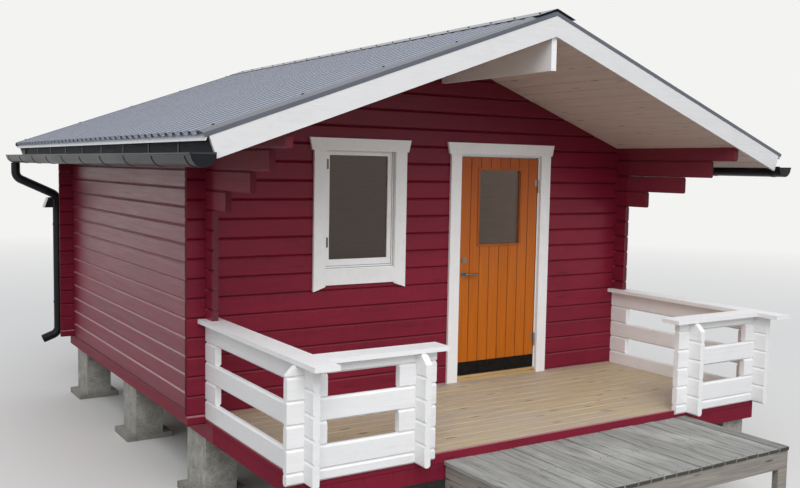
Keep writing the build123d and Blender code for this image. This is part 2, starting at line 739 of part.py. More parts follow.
# Corner lamp with a leaning lens, on the free end of a log
lamp_y = REAR_FACE + LOG_END / 2
arm_start = -SIDE_FACE - SEAT
lamp_inner = -SIDE_FACE - LAMP_REACH
lamp_outer = lamp_inner - LAMP_WIDTH
lamp_top = LAMP_LEVEL + LAMP_ARM / 2
lamp_bottom = lamp_top - LAMP_HEIGHT
lens_gap = SEAT + LAMP_LENS
with BuildPart() as corner_lamp:
    with BuildSketch(Plane.XZ.offset(-(lamp_y + LAMP_DEPTH / 2))):
        with BuildLine():
            Polyline((lamp_inner, lamp_bottom), (lamp_outer, lamp_bottom),
                     (lamp_outer + LAMP_LEAN, lamp_top), (lamp_inner, lamp_top), close=True)
        make_face()
    extrude(amount=LAMP_DEPTH)
    with Locations(((lamp_inner + arm_start) / 2, lamp_y, LAMP_LEVEL)):
        Box(arm_start - lamp_inner, LAMP_ARM, LAMP_ARM)
    with Locations((arm_start - LAMP_METAL / 2, lamp_y, LAMP_LEVEL)):
        Box(LAMP_METAL, LAMP_PLATE, LAMP_PLATE)
save("corner_lamp", corner_lamp.part)
with BuildPart() as lamp_lens:
    with BuildSketch(Plane.XZ.offset(-(lamp_y + LAMP_DEPTH / 2))):
        with BuildLine():
            Polyline((lamp_outer - SEAT, lamp_bottom), (lamp_outer - lens_gap, lamp_bottom),
                     (lamp_outer + LAMP_LEAN - lens_gap, lamp_top),
                     (lamp_outer + LAMP_LEAN - SEAT, lamp_top), close=True)
        make_face()
    extrude(amount=LAMP_DEPTH)
save("lamp_lens", lamp_lens.part)

# Porch rim, painted like the walls, and the deck between the rails
rim_solids = []
for side in (-1, 1):
    edges = sorted((side * SIDE_FACE, side * SIDE_INNER))
    rim_solids.append(block(edges, (PORCH_FRONT + RIM_THICKNESS + SEAT, FRONT_FACE - SEAT),
                            (SILL_BOTTOM, RAIL_BOTTOM - SEAT)))
with BuildPart() as front_rim:
    with BuildSketch(Plane.XZ.offset(-(PORCH_FRONT + RIM_THICKNESS))):
        with BuildLine():
            Polyline(
                (-SIDE_FACE, SILL_BOTTOM), (SIDE_FACE, SILL_BOTTOM),
                (SIDE_FACE, RAIL_BOTTOM - SEAT), (ENTRY_RIGHT - SEAT, RAIL_BOTTOM - SEAT),
                (ENTRY_RIGHT - SEAT, DECK_TOP), (ENTRY_LEFT + SEAT, DECK_TOP),
                (ENTRY_LEFT + SEAT, RAIL_BOTTOM - SEAT), (-SIDE_FACE, RAIL_BOTTOM - SEAT),
                close=True)
        make_face()
    extrude(amount=RIM_THICKNESS)
gather("porch_rim", rim_solids + [front_rim.part])

deck_y = (PORCH_FRONT + RIM_THICKNESS + SEAT, FRONT_FACE - SEAT)
save("porch_deck", block((-SIDE_INNER + SEAT, SIDE_INNER - SEAT), deck_y,
                         (DECK_TOP - DECK_BOARD, DECK_TOP)))

# Porch rails of planed logs, crossed at the corners like the walls
rail_courses = round((RAIL_TOP - RAIL_BOTTOM) / COURSE)
rail_course = (RAIL_TOP - RAIL_BOTTOM) / rail_courses
rail_cut = rail_course / 4 + NOTCH_PLAY / 2
front_centre = RAIL_FACE + LOG_THICKNESS / 2
inner_posts = {-1: ENTRY_LEFT - RAIL_END - LOG_THICKNESS / 2,
               1: ENTRY_RIGHT + RAIL_END + LOG_THICKNESS / 2}


def slanted(solid, along, end, inward, top):
    """The free end of a rail's top log, cut off at a slant under the cap."""
    plane = Plane.XZ if along == "x" else Plane.YZ
    with BuildPart() as made:
        add(solid)
        with BuildSketch(plane):
            with BuildLine():
                Polyline((end, top - RAIL_SLANT), (end, top), (end + inward * RAIL_SLANT, top),
                         close=True)
            make_face()
        extrude(amount=2 * WALL_DEPTH, both=True, mode=Mode.SUBTRACT)
    return made.part


for side, name in ((-1, "left_rail"), (1, "right_rail")):
    outer = SIDE_INNER if side > 0 else -SIDE_FACE
    front_end = RAIL_FACE - RAIL_END
    solids = []
    for course in range(rail_courses):
        bottom = RAIL_BOTTOM + course * rail_course
        top = bottom + rail_course - LOG_JOINT
        cut = (front_centre, crossing, rail_cut, rail_cut)
        if course % 2 == 0:
            solids.append(log("y", (front_end, FRONT_FACE - SEAT), outer, LOG_THICKNESS,
                              bottom, top, [cut]))
        else:
            solids.append(log("y", (front_end, RAIL_FACE + RAIL_STUB), outer, LOG_THICKNESS,
                              bottom, top, [cut]))
            solids.append(log("y", (FRONT_FACE - WALL_STUB, FRONT_FACE - SEAT), outer,
                              LOG_THICKNESS, bottom, top))
    gather(name, solids)

for side, name in ((-1, "front_rail_left"), (1, "front_rail_right")):
    outer_end = side * (SIDE_FACE + RAIL_END)
    entry_end = ENTRY_LEFT if side < 0 else ENTRY_RIGHT
    post = inner_posts[side]
    solids = []
    for course in range(rail_courses + 1):
        bottom = max(RAIL_BOTTOM, RAIL_BOTTOM + (course - 0.5) * rail_course)
        top = min(RAIL_TOP, RAIL_BOTTOM + (course + 0.5) * rail_course) - LOG_JOINT
        below = 0 if course == 0 else rail_cut
        above = 0 if course == rail_courses else rail_cut
        corner_notch = (side * corner_centre, crossing, below, above)
        post_notch = (post, crossing, below, above)
        if course % 2 == 1 or course == 0:
            ends = sorted((outer_end, entry_end))
            whole = log("x", ends, RAIL_FACE, LOG_THICKNESS, bottom, top,
                        [corner_notch, post_notch])
            if course == rail_courses:
                whole = slanted(whole, "x", outer_end, -side, top)
            solids.append(whole)
        else:
            ends = sorted((outer_end, side * (SIDE_FACE - RAIL_STUB)))
            solids.append(log("x", ends, RAIL_FACE, LOG_THICKNESS, bottom, top, [corner_notch]))
            ends = sorted((entry_end, post + side * POST_STUB))
            solids.append(log("x", ends, RAIL_FACE, LOG_THICKNESS, bottom, top, [post_notch]))
    for course in range(rail_courses):
        bottom = RAIL_BOTTOM + course * rail_course
        top = bottom + rail_course - LOG_JOINT
        inside = RAIL_FACE + LOG_THICKNESS
        cuts = [(front_centre, crossing, rail_cut, rail_cut)]
        if course == 0:
            cuts.append((inside + POST_INNER, 2 * POST_INNER, RAIL_DROP + SEAT, 0))
        stub = log("y", (RAIL_FACE - RAIL_END, inside + POST_INNER), post - LOG_THICKNESS / 2,
                   LOG_THICKNESS, bottom, top, cuts)
        if course == rail_courses - 1:
            stub = slanted(stub, "y", RAIL_FACE - RAIL_END, 1, top)
        solids.append(stub)
    gather(name, solids)

cap_z = (RAIL_TOP + SEAT, RAIL_TOP + CAP_THICKNESS)
cap_solids = []
for side in (-1, 1):
    edges = sorted((side * (corner_centre + CAP_WIDTH / 2), side * (corner_centre - CAP_WIDTH / 2)))
    cap_solids.append(block(edges, (FRONT_FACE - CAP_FRONT, FRONT_FACE - SEAT), cap_z))
    near = side * (corner_centre - CAP_WIDTH / 2 - LOG_JOINT)
    far = ENTRY_LEFT + CAP_END_LEFT if side < 0 else ENTRY_RIGHT - CAP_END_RIGHT
    cap_solids.append(
        block(sorted((near, far)), (front_centre - CAP_WIDTH / 2, front_centre + CAP_WIDTH / 2),
              cap_z))
gather("rail_caps", cap_solids)

# Window: frame in the wall, sash, glass and flared casings
hole_bottom = front_first + window_course * COURSE
hole_top = front_first + head_course * COURSE


def ring(x_span, z_span, y_span, bars):
    """A rectangular frame in the wall; bars are its left, right, bottom and top widths."""
    with BuildPart() as made:
        with BuildSketch(Plane.XZ.offset(-y_span[1])):
            with Locations(((x_span[0] + x_span[1]) / 2, (z_span[0] + z_span[1]) / 2)):
                Rectangle(x_span[1] - x_span[0], z_span[1] - z_span[0])
            left, right, foot, head = bars
            hole_x = (x_span[0] + left, x_span[1] - right)
            hole_z = (z_span[0] + foot, z_span[1] - head)
            with Locations(((hole_x[0] + hole_x[1]) / 2, (hole_z[0] + hole_z[1]) / 2)):
                Rectangle(hole_x[1] - hole_x[0], hole_z[1] - hole_z[0], mode=Mode.SUBTRACT)
        extrude(amount=y_span[1] - y_span[0])
    return made.part


frame_x = (window_hole[0] + SASH_GAP, window_hole[1] - SASH_GAP)
frame_z = (hole_bottom + SASH_GAP, hole_top - SASH_GAP)
frame_y = (FRONT_FACE + SEAT, FRONT_FACE + WINDOW_FRAME_DEPTH)
sash_x = (frame_x[0] + WINDOW_FRAME + SASH_GAP, frame_x[1] - WINDOW_FRAME - SASH_GAP)
sash_z = (frame_z[0] + WINDOW_FRAME + SASH_GAP, frame_z[1] - WINDOW_FRAME - SASH_GAP)
sash_y = (FRONT_FACE + SASH_RECESS, FRONT_FACE + SASH_RECESS + SASH_THICKNESS)
outer_frame = ring(frame_x, frame_z, frame_y, (WINDOW_FRAME,) * 4)
stop_y = (sash_y[1] + SEAT, frame_y[1])
sash_stop = ring(frame_x, frame_z, stop_y, (WINDOW_FRAME + SASH_STOP,) * 4)
with BuildPart() as window_frame:
    add(outer_frame)
    add(sash_stop)
save("window_frame", window_frame.part)
save("window_sash", ring(sash_x, sash_z, sash_y, (SASH_SIDE, SASH_SIDE, SASH_FOOT, SASH_SIDE)))
pane_x = (sash_x[0] + SASH_SIDE + SEAT, sash_x[1] - SASH_SIDE - SEAT)
pane_z = (sash_z[0] + SASH_FOOT + SEAT, sash_z[1] - SASH_SIDE - SEAT)
pane_front = FRONT_FACE + SASH_RECESS + GLASS_THICKNESS
save("window_glass", block(pane_x, (pane_front, pane_front + GLASS_THICKNESS), pane_z))


def casing(left, right, foot, head, slant):
    """Two jamb boards and a flared head board round an opening, on the wall's face."""
    back = Plane.XZ.offset(-(FRONT_FACE - SEAT))
    with BuildPart() as made:
        for side, inner in ((-1, left), (1, right)):
            outer = inner + side * CASING_JAMB
            with BuildSketch(back):
                with BuildLine():
                    Polyline((inner, foot), (inner, head - LOG_JOINT), (outer, head - LOG_JOINT),
                             (outer, foot - slant), close=True)
                make_face()
            extrude(amount=CASING_THICKNESS)
        low_left, low_right = left - CASING_JAMB, right + CASING_JAMB
        foot_ear = CASING_EAR - CASING_FLARE
        with BuildSketch(back):
            with BuildLine():
                Polyline(
                    (low_left - foot_ear, head), (low_right + foot_ear, head),
                    (low_right + CASING_EAR, head + CASING_HEAD),
                    (low_left - CASING_EAR, head + CASING_HEAD), close=True)
            make_face()
        extrude(amount=CASING_THICKNESS)
    return made.part


casing_y = (FRONT_FACE - SEAT - CASING_THICKNESS, FRONT_FACE - SEAT)
apron_bottom = DECK_TOP + WINDOW_BOTTOM - WINDOW_APRON
window_boards = casing(WINDOW_LEFT, WINDOW_RIGHT, apron_bottom - APRON_LAP,
                       DECK_TOP + HEAD_LEVEL, WINDOW_SLANT)
apron = block((WINDOW_LEFT + LOG_JOINT, WINDOW_RIGHT - LOG_JOINT), casing_y,
              (apron_bottom, DECK_TOP + WINDOW_BOTTOM))
with BuildPart() as window_casing:
    add(window_boards)
    add(apron)
save("window_casing", window_casing.part)
save("door_casing", casing(DOOR_LEFT, DOOR_RIGHT, DECK_TOP + SEAT, DECK_TOP + HEAD_LEVEL, 0))

# Door frame with its rebate, threshold and step board
jamb_left = door_hole[0] + LEAF_GAP
jamb_right = door_hole[1] - LEAF_GAP
leaf_left = jamb_left + DOOR_FRAME + LEAF_GAP
leaf_right = jamb_right - DOOR_FRAME - LEAF_GAP
leaf_y = (FRONT_FACE + LEAF_RECESS, FRONT_FACE + LEAF_RECESS + LEAF_THICKNESS)
head_under = DECK_TOP + LEAF_TOP + LEAF_GAP
sill_top = DECK_TOP + LEAF_BOTTOM - LEAF_GAP
rebate_y = leaf_y[1] + LEAF_GAP
frame_back = leaf_y[0] + DOOR_FRAME_DEPTH
with BuildPart() as door_frame:
    for depth, jamb in (((leaf_y[0], frame_back), DOOR_FRAME),
                        ((rebate_y, frame_back), DOOR_FRAME + DOOR_REBATE)):
        with BuildSketch(Plane.XZ.offset(-depth[1])):
            with BuildLine():
                Polyline(
                    (jamb_left, sill_top + SEAT), (jamb_left, head_under + DOOR_FRAME),
                    (jamb_right, head_under + DOOR_FRAME), (jamb_right, sill_top + SEAT),
                    (jamb_right - jamb, sill_top + SEAT),
                    (jamb_right - jamb, head_under + DOOR_FRAME - jamb),
                    (jamb_left + jamb, head_under + DOOR_FRAME - jamb),
                    (jamb_left + jamb, sill_top + SEAT), close=True)
            make_face()
        extrude(amount=depth[1] - depth[0])
save("door_frame", door_frame.part)
sill_board = block((jamb_left, jamb_right), (FRONT_FACE + SEAT, frame_back),
                   (front_first + SEAT, sill_top))
step = block((DOOR_LEFT + SEAT, DOOR_RIGHT - SEAT), casing_y,
             (DECK_TOP + SEAT, DECK_TOP + STEP_BOARD))
gather("door_threshold", [sill_board, step])

# Door leaf of vertical boards, with its light, kick plate, lock and lever
leaf_middle = (leaf_left + leaf_right) / 2
board = (leaf_right - leaf_left) / LEAF_BOARDS
glass_x = (leaf_middle - DOOR_GLASS_WIDTH / 2, leaf_middle + DOOR_GLASS_WIDTH / 2)
glass_z = (DECK_TOP + DOOR_GLASS_BOTTOM, DECK_TOP + LEAF_TOP - DOOR_GLASS_HEAD)
lock_x = leaf_left + LOCK_INSET
lever_z = DECK_TOP + LEVER_HEIGHT
spindle_hole = SPINDLE_DIAMETER / 2 + SPINDLE_PLAY
leaf_slab = block((leaf_left, leaf_right), leaf_y, (DECK_TOP + LEAF_BOTTOM, DECK_TOP + LEAF_TOP))
light_hole = block(glass_x, (leaf_y[0] - LEAF_RECESS, leaf_y[1] + LEAF_RECESS), glass_z)
with BuildPart() as door_leaf:
    add(leaf_slab)
    with BuildSketch(Plane.XY.offset(DECK_TOP)):
        with Locations([(leaf_left + seam * board, leaf_y[0]) for seam in range(1, LEAF_BOARDS)]):
            Rectangle(LEAF_GROOVE, LEAF_GROOVE, rotation=45)
    extrude(amount=2 * LEAF_TOP, both=True, mode=Mode.SUBTRACT)
    add(light_hole, mode=Mode.SUBTRACT)
    with Locations(Plane(origin=(lock_x, leaf_y[0], lever_z), z_dir=(0, -1, 0))):
        Cylinder(spindle_hole, 4 * LEAF_THICKNESS, mode=Mode.SUBTRACT)
save("door_leaf", door_leaf.part)

pane_mid = (leaf_y[0] + leaf_y[1]) / 2
save("door_glass", block(
    (glass_x[0] + SEAT, glass_x[1] - SEAT),
    (pane_mid - GLASS_THICKNESS / 2, pane_mid + GLASS_THICKNESS / 2),
    (glass_z[0] + SEAT, glass_z[1] - SEAT)))
bead_x = (glass_x[0] - BEAD_WIDTH, glass_x[1] + BEAD_WIDTH)
bead_z = (glass_z[0] - BEAD_WIDTH, glass_z[1] + BEAD_WIDTH)
gather("glazing_beads", [
    ring(bead_x, bead_z, (leaf_y[0] - BEAD_PROUD, leaf_y[0] - SEAT), (BEAD_WIDTH,) * 4),
    ring(bead_x, bead_z, (leaf_y[1] + SEAT, leaf_y[1] + BEAD_BACK), (BEAD_WIDTH,) * 4)])
save("kick_plate", block(
    (leaf_left + KICK_INSET, leaf_right - KICK_INSET),
    (leaf_y[0] - SEAT - KICK_METAL, leaf_y[0] - SEAT),
    (DECK_TOP + LEAF_BOTTOM, DECK_TOP + LEAF_BOTTOM + KICK_HEIGHT)))


def facing(x, y, z, out):
    """A plane on a face of the door, looking out of it."""
    return Plane(origin=(x, y, z), x_dir=(1, 0, 0), z_dir=(0, out, 0))


lock_z = DECK_TOP + LOCK_HEIGHT
lock_solids = []
for face, out in ((leaf_y[0] - SEAT, -1), (leaf_y[1] + SEAT, 1)):
    with BuildPart() as rose:
        with BuildSketch(facing(lock_x, face, lever_z, out)):
            Circle(ROSE_DIAMETER / 2)
            Circle(spindle_hole, mode=Mode.SUBTRACT)
        extrude(amount=ROSE_THICKNESS)
    with BuildPart() as cylinder_rose:
        with BuildSketch(facing(lock_x, face, lock_z, out)):
            Circle(ROSE_DIAMETER / 2)
        extrude(amount=ROSE_THICKNESS)
        with BuildSketch(facing(lock_x, face + out * ROSE_THICKNESS, lock_z, out)):
            Circle(ROSE_DIAMETER / 4)
            Rectangle(KEYHOLE_WIDTH, KEYHOLE_LENGTH, mode=Mode.SUBTRACT)
        extrude(amount=ROSE_THICKNESS / 2)
    lock_solids += [rose.part, cylinder_rose.part]
gather("door_lock", lock_solids)

# The spindle with a bent handle on each side of the leaf
lever_out = LEVER_STAND - LEVER_DIAMETER / 2
with BuildPart() as door_lever:
    with BuildSketch(facing(lock_x, leaf_y[0] - ROSE_THICKNESS, lever_z, 1)):
        Circle(SPINDLE_DIAMETER / 2)
    extrude(amount=LEAF_THICKNESS + 2 * ROSE_THICKNESS)
    for face, out in ((leaf_y[0], -1), (leaf_y[1], 1)):
        y = face + out * lever_out
        with BuildLine() as handle:
            FilletPolyline((lock_x, face, lever_z), (lock_x, y, lever_z),
                           (lock_x + LEVER_REACH, y, lever_z), radius=LEVER_BEND)
        with BuildSketch(Plane(origin=handle.line @ 0, z_dir=handle.line % 0)):
            Circle(LEVER_DIAMETER / 2)
        sweep()
    fillet(door_lever.edges().group_by(Axis.X)[-1], radius=LEVER_END)
save("door_lever", door_lever.part)

# Lift-off hinges: the lower barrel on the frame, the upper one on the leaf
hinge_x = (leaf_right + jamb_right - DOOR_FRAME) / 2
hinge_y = leaf_y[0] - SEAT - HINGE_BARREL / 2 - HINGE_PLATE
frame_halves = []
leaf_halves = []
half_barrel = HINGE_HEIGHT / 2 - SEAT
for centre in (HINGE_FOOT, LEAF_TOP - HINGE_HEAD):
    z = DECK_TOP + centre
    for lift, reach, halves in ((-HINGE_HEIGHT / 2, 1, frame_halves), (SEAT, -1, leaf_halves)):
        with BuildPart() as half:
            with BuildSketch(Plane.XY.offset(z + lift)):
                with Locations((hinge_x, hinge_y)):
                    Circle(HINGE_BARREL / 2)
                edge = DOOR_RIGHT - SEAT if reach > 0 else hinge_x - HINGE_WING
                with Locations(((hinge_x + edge) / 2, leaf_y[0] - SEAT - HINGE_PLATE / 2)):
                    Rectangle(abs(edge - hinge_x), HINGE_PLATE)
                with Locations((hinge_x, leaf_y[0] - SEAT - HINGE_PLATE)):
                    Rectangle(HINGE_PLATE, HINGE_PLATE)
            extrude(amount=half_barrel)
        halves.append(half.part)
gather("hinge_frame_halves", frame_halves)
gather("hinge_leaf_halves", leaf_halves)

# Landing of planks on a low frame with legs to the ground
landing_back = PORCH_FRONT - LANDING_GAP
landing_front = landing_back - LANDING_DEPTH
landing_top = DECK_TOP - LANDING_DROP
save("landing_boards", block((LANDING_LEFT, LANDING_RIGHT), (landing_front, landing_back),
                             (landing_top - DECK_BOARD, landing_top)))
beam_top = landing_top - DECK_BOARD - SEAT
leg_reach = LANDING_LEG / 2 + LANDING_INSET
landing_middle = (LANDING_LEFT + LANDING_RIGHT) / 2
with BuildPart() as landing_frame:
    beam_lines = (landing_front + LANDING_INSET + JOIST_WIDTH / 2,
                  (landing_front + landing_back) / 2,
                  landing_back - LANDING_INSET - JOIST_WIDTH / 2)
    for y in beam_lines:
        with Locations((landing_middle, y, beam_top - LANDING_BEAM / 2)):
            Box(LANDING_RIGHT - LANDING_LEFT - 2 * LANDING_INSET, JOIST_WIDTH, LANDING_BEAM)
    for x in (LANDING_LEFT + leg_reach, landing_middle, LANDING_RIGHT - leg_reach):
        for y in (beam_lines[0], beam_lines[2]):
            with Locations((x, y, (beam_top - LANDING_BEAM) / 2)):
                Box(LANDING_LEG, JOIST_WIDTH, beam_top - LANDING_BEAM)
    for x in (LANDING_LEFT + LANDING_INSET + JOIST_WIDTH / 2,
              LANDING_RIGHT - LANDING_INSET - JOIST_WIDTH / 2):
        with Locations((x, beam_lines[1], beam_top - LANDING_BEAM / 2)):
            Box(JOIST_WIDTH, beam_lines[2] - beam_lines[0], LANDING_BEAM)
save("landing_frame", landing_frame.part)
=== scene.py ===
"""Dresses a packed log cottage: paint, boards, fixings, ironmongery and a plain studio stage."""

import random
from math import cos, radians, sin, tan

import bmesh
import bpy
from mathutils import Matrix, Vector


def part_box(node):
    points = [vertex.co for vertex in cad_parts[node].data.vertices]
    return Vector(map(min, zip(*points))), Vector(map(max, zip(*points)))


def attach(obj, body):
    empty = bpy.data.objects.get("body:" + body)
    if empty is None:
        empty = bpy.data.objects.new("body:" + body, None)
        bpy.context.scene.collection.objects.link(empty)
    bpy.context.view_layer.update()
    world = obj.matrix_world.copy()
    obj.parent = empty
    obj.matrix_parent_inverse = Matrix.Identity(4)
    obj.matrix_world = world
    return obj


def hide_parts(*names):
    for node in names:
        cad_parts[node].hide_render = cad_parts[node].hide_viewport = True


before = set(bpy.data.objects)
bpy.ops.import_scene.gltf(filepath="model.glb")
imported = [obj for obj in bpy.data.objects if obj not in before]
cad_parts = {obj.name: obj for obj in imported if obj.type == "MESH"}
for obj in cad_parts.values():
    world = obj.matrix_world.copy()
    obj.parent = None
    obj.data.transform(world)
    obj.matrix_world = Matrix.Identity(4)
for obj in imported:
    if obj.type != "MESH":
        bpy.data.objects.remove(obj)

bl_info = {
    "name": "Log Cottage Dresser",
    "version": (1, 0, 0),
    "blender": (4, 5, 0),
    "location": "View3D > Sidebar > Cottage",
    "description": "Lays the boards, drives the screws and paints the pieces of a log cottage",
    "category": "Object",
}

# The photograph's view: where the camera stands and how it is turned, in metres
CAMERA_PLACE = Vector((-4.369, -8.204, 2.454))
CAMERA_FORWARD = Vector((0.53558, 0.84050, -0.08208))
CAMERA_UP = Vector((0.02868, 0.07903, 0.99648))
CAMERA_LENS = 41.70
CAMERA_SENSOR = 36.0

# The stage: an overcast sky, brighter in front, one large soft lamp, and a pale floor
BACKDROP = "#F3F3F1"
FLOOR_SEEN = "#E4E2DD"
FLOOR_BOUNCE = "#77736A"
FLOOR_FADE = (8.0, 24.0)
FLOOR_RADIUS = 60.0
SKY_COLOUR = "#E9EDF4"
SKY_FRONT = 1.3
SKY_BACK = 0.8
SKY_TURN = (-0.9, 0.3)
KEY_PLACE = Vector((-5.5, -12.5, 11.5))
KEY_TARGET = Vector((0.0, -1.5, 1.5))
KEY_SIZE = 9.0
KEY_WATTS = 1000.0

# The walls, rails and roof, as they are built
COURSE = 0.140
SIDE_FIRST = 0.595
FRONT_FIRST = 0.665
RAIL_FIRST = 0.630
WALL_OUTSIDE = Vector((2.025, 1.970, 0))
LOG_THICKNESS = 0.045
DOOR_BOARDS = 8
ROOF_SLOPE = radians(19.83)
FIRST_RIB = 0.080
RIB_PITCH = 0.1375
PAN_DEPTH = 0.0224

# Heights that the finish of the logs follows, from where it starts to change to where it is done
# Painted shade on the logs under the roof
PAINTED_ROOF_SHADE = (2.15, 2.75)
# Painted highlight on the logs' upper edges, strongest low down
EDGE_HIGHLIGHT_HEIGHTS = (0.9, 2.3)
SPLASHES = (0.6, 1.7)

# Streaks of grain, by their length and thickness. Real growth rings lie 1 to 3 mm apart, too
# fine to show, so they are drawn several times as coarse
BROAD_STREAK = (0.55, 0.022)
FINE_STREAK = (0.16, 0.005)

# Nails lie this far from the edge of a board and a little off their line
NAIL_EDGE = 0.025
NAIL_ASTRAY = 0.004
NAIL_RADIUS = 0.0038
NAIL_HEIGHT = 0.0026
NAIL_SUNK = 0.002

# Roofing screws: how far the rows keep from the ridge and the eaves, where the ridge cap's own
# row lies, and the sizes of a washer and its hexagon head
SCREWS_FROM_RIDGE = 0.25
SCREWS_FROM_EAVES = 0.10
CAP_SCREWS = 0.095
WASHER_HEIGHT = 0.0022
HEAD_HEIGHT = 0.0045
HEAD_SHARE = 0.55

# The landing's planks differ: the gap on one side, as shares of the usual one, and how far at
# most a seam lies off its place, and a plank is shorter in front or lies lower
PLANK_GAPS = (0.3, 0.5, 0.8, 1.4)
SEAM_ASTRAY = 0.004
PLANK_SHORTER = 0.006
PLANK_LOWER = 0.004

# The tongued boards under the roof, with half of the joint between two
SOFFIT_THICKNESS = 0.0195
SOFFIT_HALF_JOINT = 0.0018
SOFFIT_CHAMFER = 0.0065

# The window's two pin hinges, the foot of each this far from an end of the sash, and the rubber
# seals, also painted shade in the gaps, round the sash and from so far behind the face of the sash
# and the door
HINGE_FROM_END = 0.16
HINGE_INSET = 0.021
HINGE_HEIGHT = 0.075
HINGE_KNUCKLE = 0.0085
HINGE_LEAF = 0.022
HINGE_SHEET = 0.002
HINGE_TIP = 0.004
SEAL_SHADE_INSET = 0.013
SEAL_SHADE_WIDTH = 0.003
SEAL_SHADE_BEHIND = 0.004

room_low, room_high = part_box("floor")
deck_low, deck_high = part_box("porch_deck")
landing_low, landing_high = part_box("landing_boards")
leaf_low, leaf_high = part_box("door_leaf")
ceiling_low, ceiling_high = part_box("ceiling_boards")


def linear(hex_colour):
    """An sRGB hex colour as the linear values that a shader takes."""
    values = []
    for start in (1, 3, 5):
        value = int(hex_colour[start:start + 2], 16) / 255
        values.append(value / 12.92 if value <= 0.04045 else ((value + 0.055) / 1.055) ** 2.4)
    return (*values, 1.0)


def colour_property(name, description, hex_colour):
    """A colour that a user can change, with its default."""
    return bpy.props.FloatVectorProperty(
        name=name, description=description, subtype="COLOR", size=4, min=0.0, max=1.0,
        default=linear(hex_colour))


def length_property(name, description, default):
    """A length in metres that a user can change."""
    return bpy.props.FloatProperty(
        name=name, description=description, default=default, min=0.0, unit="LENGTH",
        precision=4)


class CottageColours(bpy.types.PropertyGroup):
    """The colours of the cottage's finishes."""

    log_red: colour_property("Log red", "Wine-red oil paint on the logs", "#821B32")
    rail_white: colour_property("White", "White paint on rails and casings", "#F8F7F6")
    door_amber: colour_property("Door amber", "Stain on the door's boards", "#C4680A")
    deck_pine: colour_property("Deck pine", "Bare pine of the deck", "#C6B493")
    landing_grey: colour_property("Landing grey", "Weathered planks of the landing", "#9D9E9A")
    soffit_beige: colour_property("Soffit beige", "Glazed boards under the roof", "#DACDC5")
    # The roof's grey is set lighter and bluer than the dark coat really is, a painted reflection of
    # the sky
    sheet_grey_and_sky_sheen: colour_property("Sheet grey", "Coated steel of the roof", "#9BA1B2")


class CottageSizes(bpy.types.PropertyGroup):
    """The sizes of the boards and small fixings."""

    deck_board: length_property("Deck board", "Width of a deck board", 0.117)
    deck_gap: length_property("Deck gap", "Gap between deck boards", 0.003)
    landing_plank: length_property("Landing plank", "Width of a landing plank", 0.1125)
    landing_gap: length_property("Landing gap", "Gap between landing planks", 0.008)
    soffit_board: length_property("Soffit board", "Width of a board under the roof", 0.140)
    floor_board: length_property("Floor board", "Width of a floor board", 0.110)
    screw_head: length_property("Screw head", "Diameter of a roofing screw's washer", 0.019)
    screw_spacing: length_property("Screw spacing", "Spacing of screws down the slope", 0.60)
    joist_spacing: length_property("Joist spacing", "Spacing of the deck's rows of nails", 0.56)


def sizes():
    """The scene's own sizes."""
    return bpy.context.scene.cottage_sizes


def colours():
    """The scene's own colours."""
    return bpy.context.scene.cottage_colours


def fill_inputs(tree, made, inputs):
    """Give a node's inputs values, or links from other nodes' outputs, in order or by name."""
    if not isinstance(inputs, dict):
        places = [place for place, socket in enumerate(made.inputs) if socket.enabled]
        inputs = dict(zip(places, inputs))
    for place, value in inputs.items():
        if isinstance(value, bpy.types.NodeSocket):
            tree.links.new(value, made.inputs[place])
        else:
            made.inputs[place].default_value = value


def add_node(tree, kind, inputs=(), output=None, **settings):
    """Add a shader node with its settings and inputs, and give one output, or else the first."""
    made = tree.nodes.new("ShaderNode" + kind)
    for name, value in settings.items():
        setattr(made, name, value)
    fill_inputs(tree, made, inputs)
    if output is not None:
        return made.outputs[output]
    return next((socket for socket in made.outputs if socket.enabled), None)


def new_material(name):
    """An empty node material and its shader."""
    material = bpy.data.materials.new(name)
    material.use_nodes = True
    tree = material.node_tree
    tree.nodes.clear()
    shader = add_node(tree, "BsdfPrincipled").node
    add_node(tree, "OutputMaterial", (shader.outputs["BSDF"],))
    return material, tree, shader


def finish_surface(tree, shader, colour, rough, shine=0.5, height=None, distance=0.0,
                   strength=1.0):
    """Give a shader its colour, roughness and shine, and relief where a height is given."""
    fill_inputs(tree, shader, {"Base Color": colour, "Roughness": rough,
                               "Specular IOR Level": shine})
    if height is not None:
        relief = add_node(tree, "Bump", {"Height": height, "Distance": distance,
                                         "Strength": strength})
        fill_inputs(tree, shader, {"Normal": relief})


def overlaid(tree, below, above, amount, share=1.0, low=0.0, high=1.0):
    """One colour laid over another: not at all where an amount is low, by a share where high."""
    factor = add_node(tree, "MapRange", (amount, low, high, 0.0, share))
    return add_node(tree, "Mix", (factor, below, above), data_type="RGBA")


def shade(colour, factor):
    """A linear colour made darker or lighter."""
    return (*(min(1.0, value * factor) for value in colour[:3]), 1.0)


def stretched(tree, scale, shift=None):
    """Object coordinates, slid along by a shift and then stretched."""
    place = add_node(tree, "TexCoord", output="Object")
    if shift is not None:
        place = add_node(tree, "VectorMath", (place, shift), operation="ADD")
    return add_node(tree, "Mapping", {"Vector": place, "Scale": scale}, vector_type="POINT")


def patches(tree, scale, detail=4.0, roughness=0.55, distortion=0.0, shift=None):
    """Uneven patches, so many to a metre along each axis, from about 0.3 to 0.7."""
    return add_node(tree, "TexNoise", {
        "Vector": stretched(tree, scale, shift), "Scale": 1.0, "Detail": detail,
        "Roughness": roughness, "Distortion": distortion})


# The axis that a board's grain runs along, by its number
RUNS = {"x": 0, "y": 1, "z": 2}


def grain_scale(run, long, thin):
    """The scale of streaks that run along one axis, or level along two."""
    if run == "level":
        return (1 / long, 1 / long, 1 / thin)
    scale = [1 / thin] * 3
    scale[RUNS[run]] = 1 / long
    return tuple(scale)


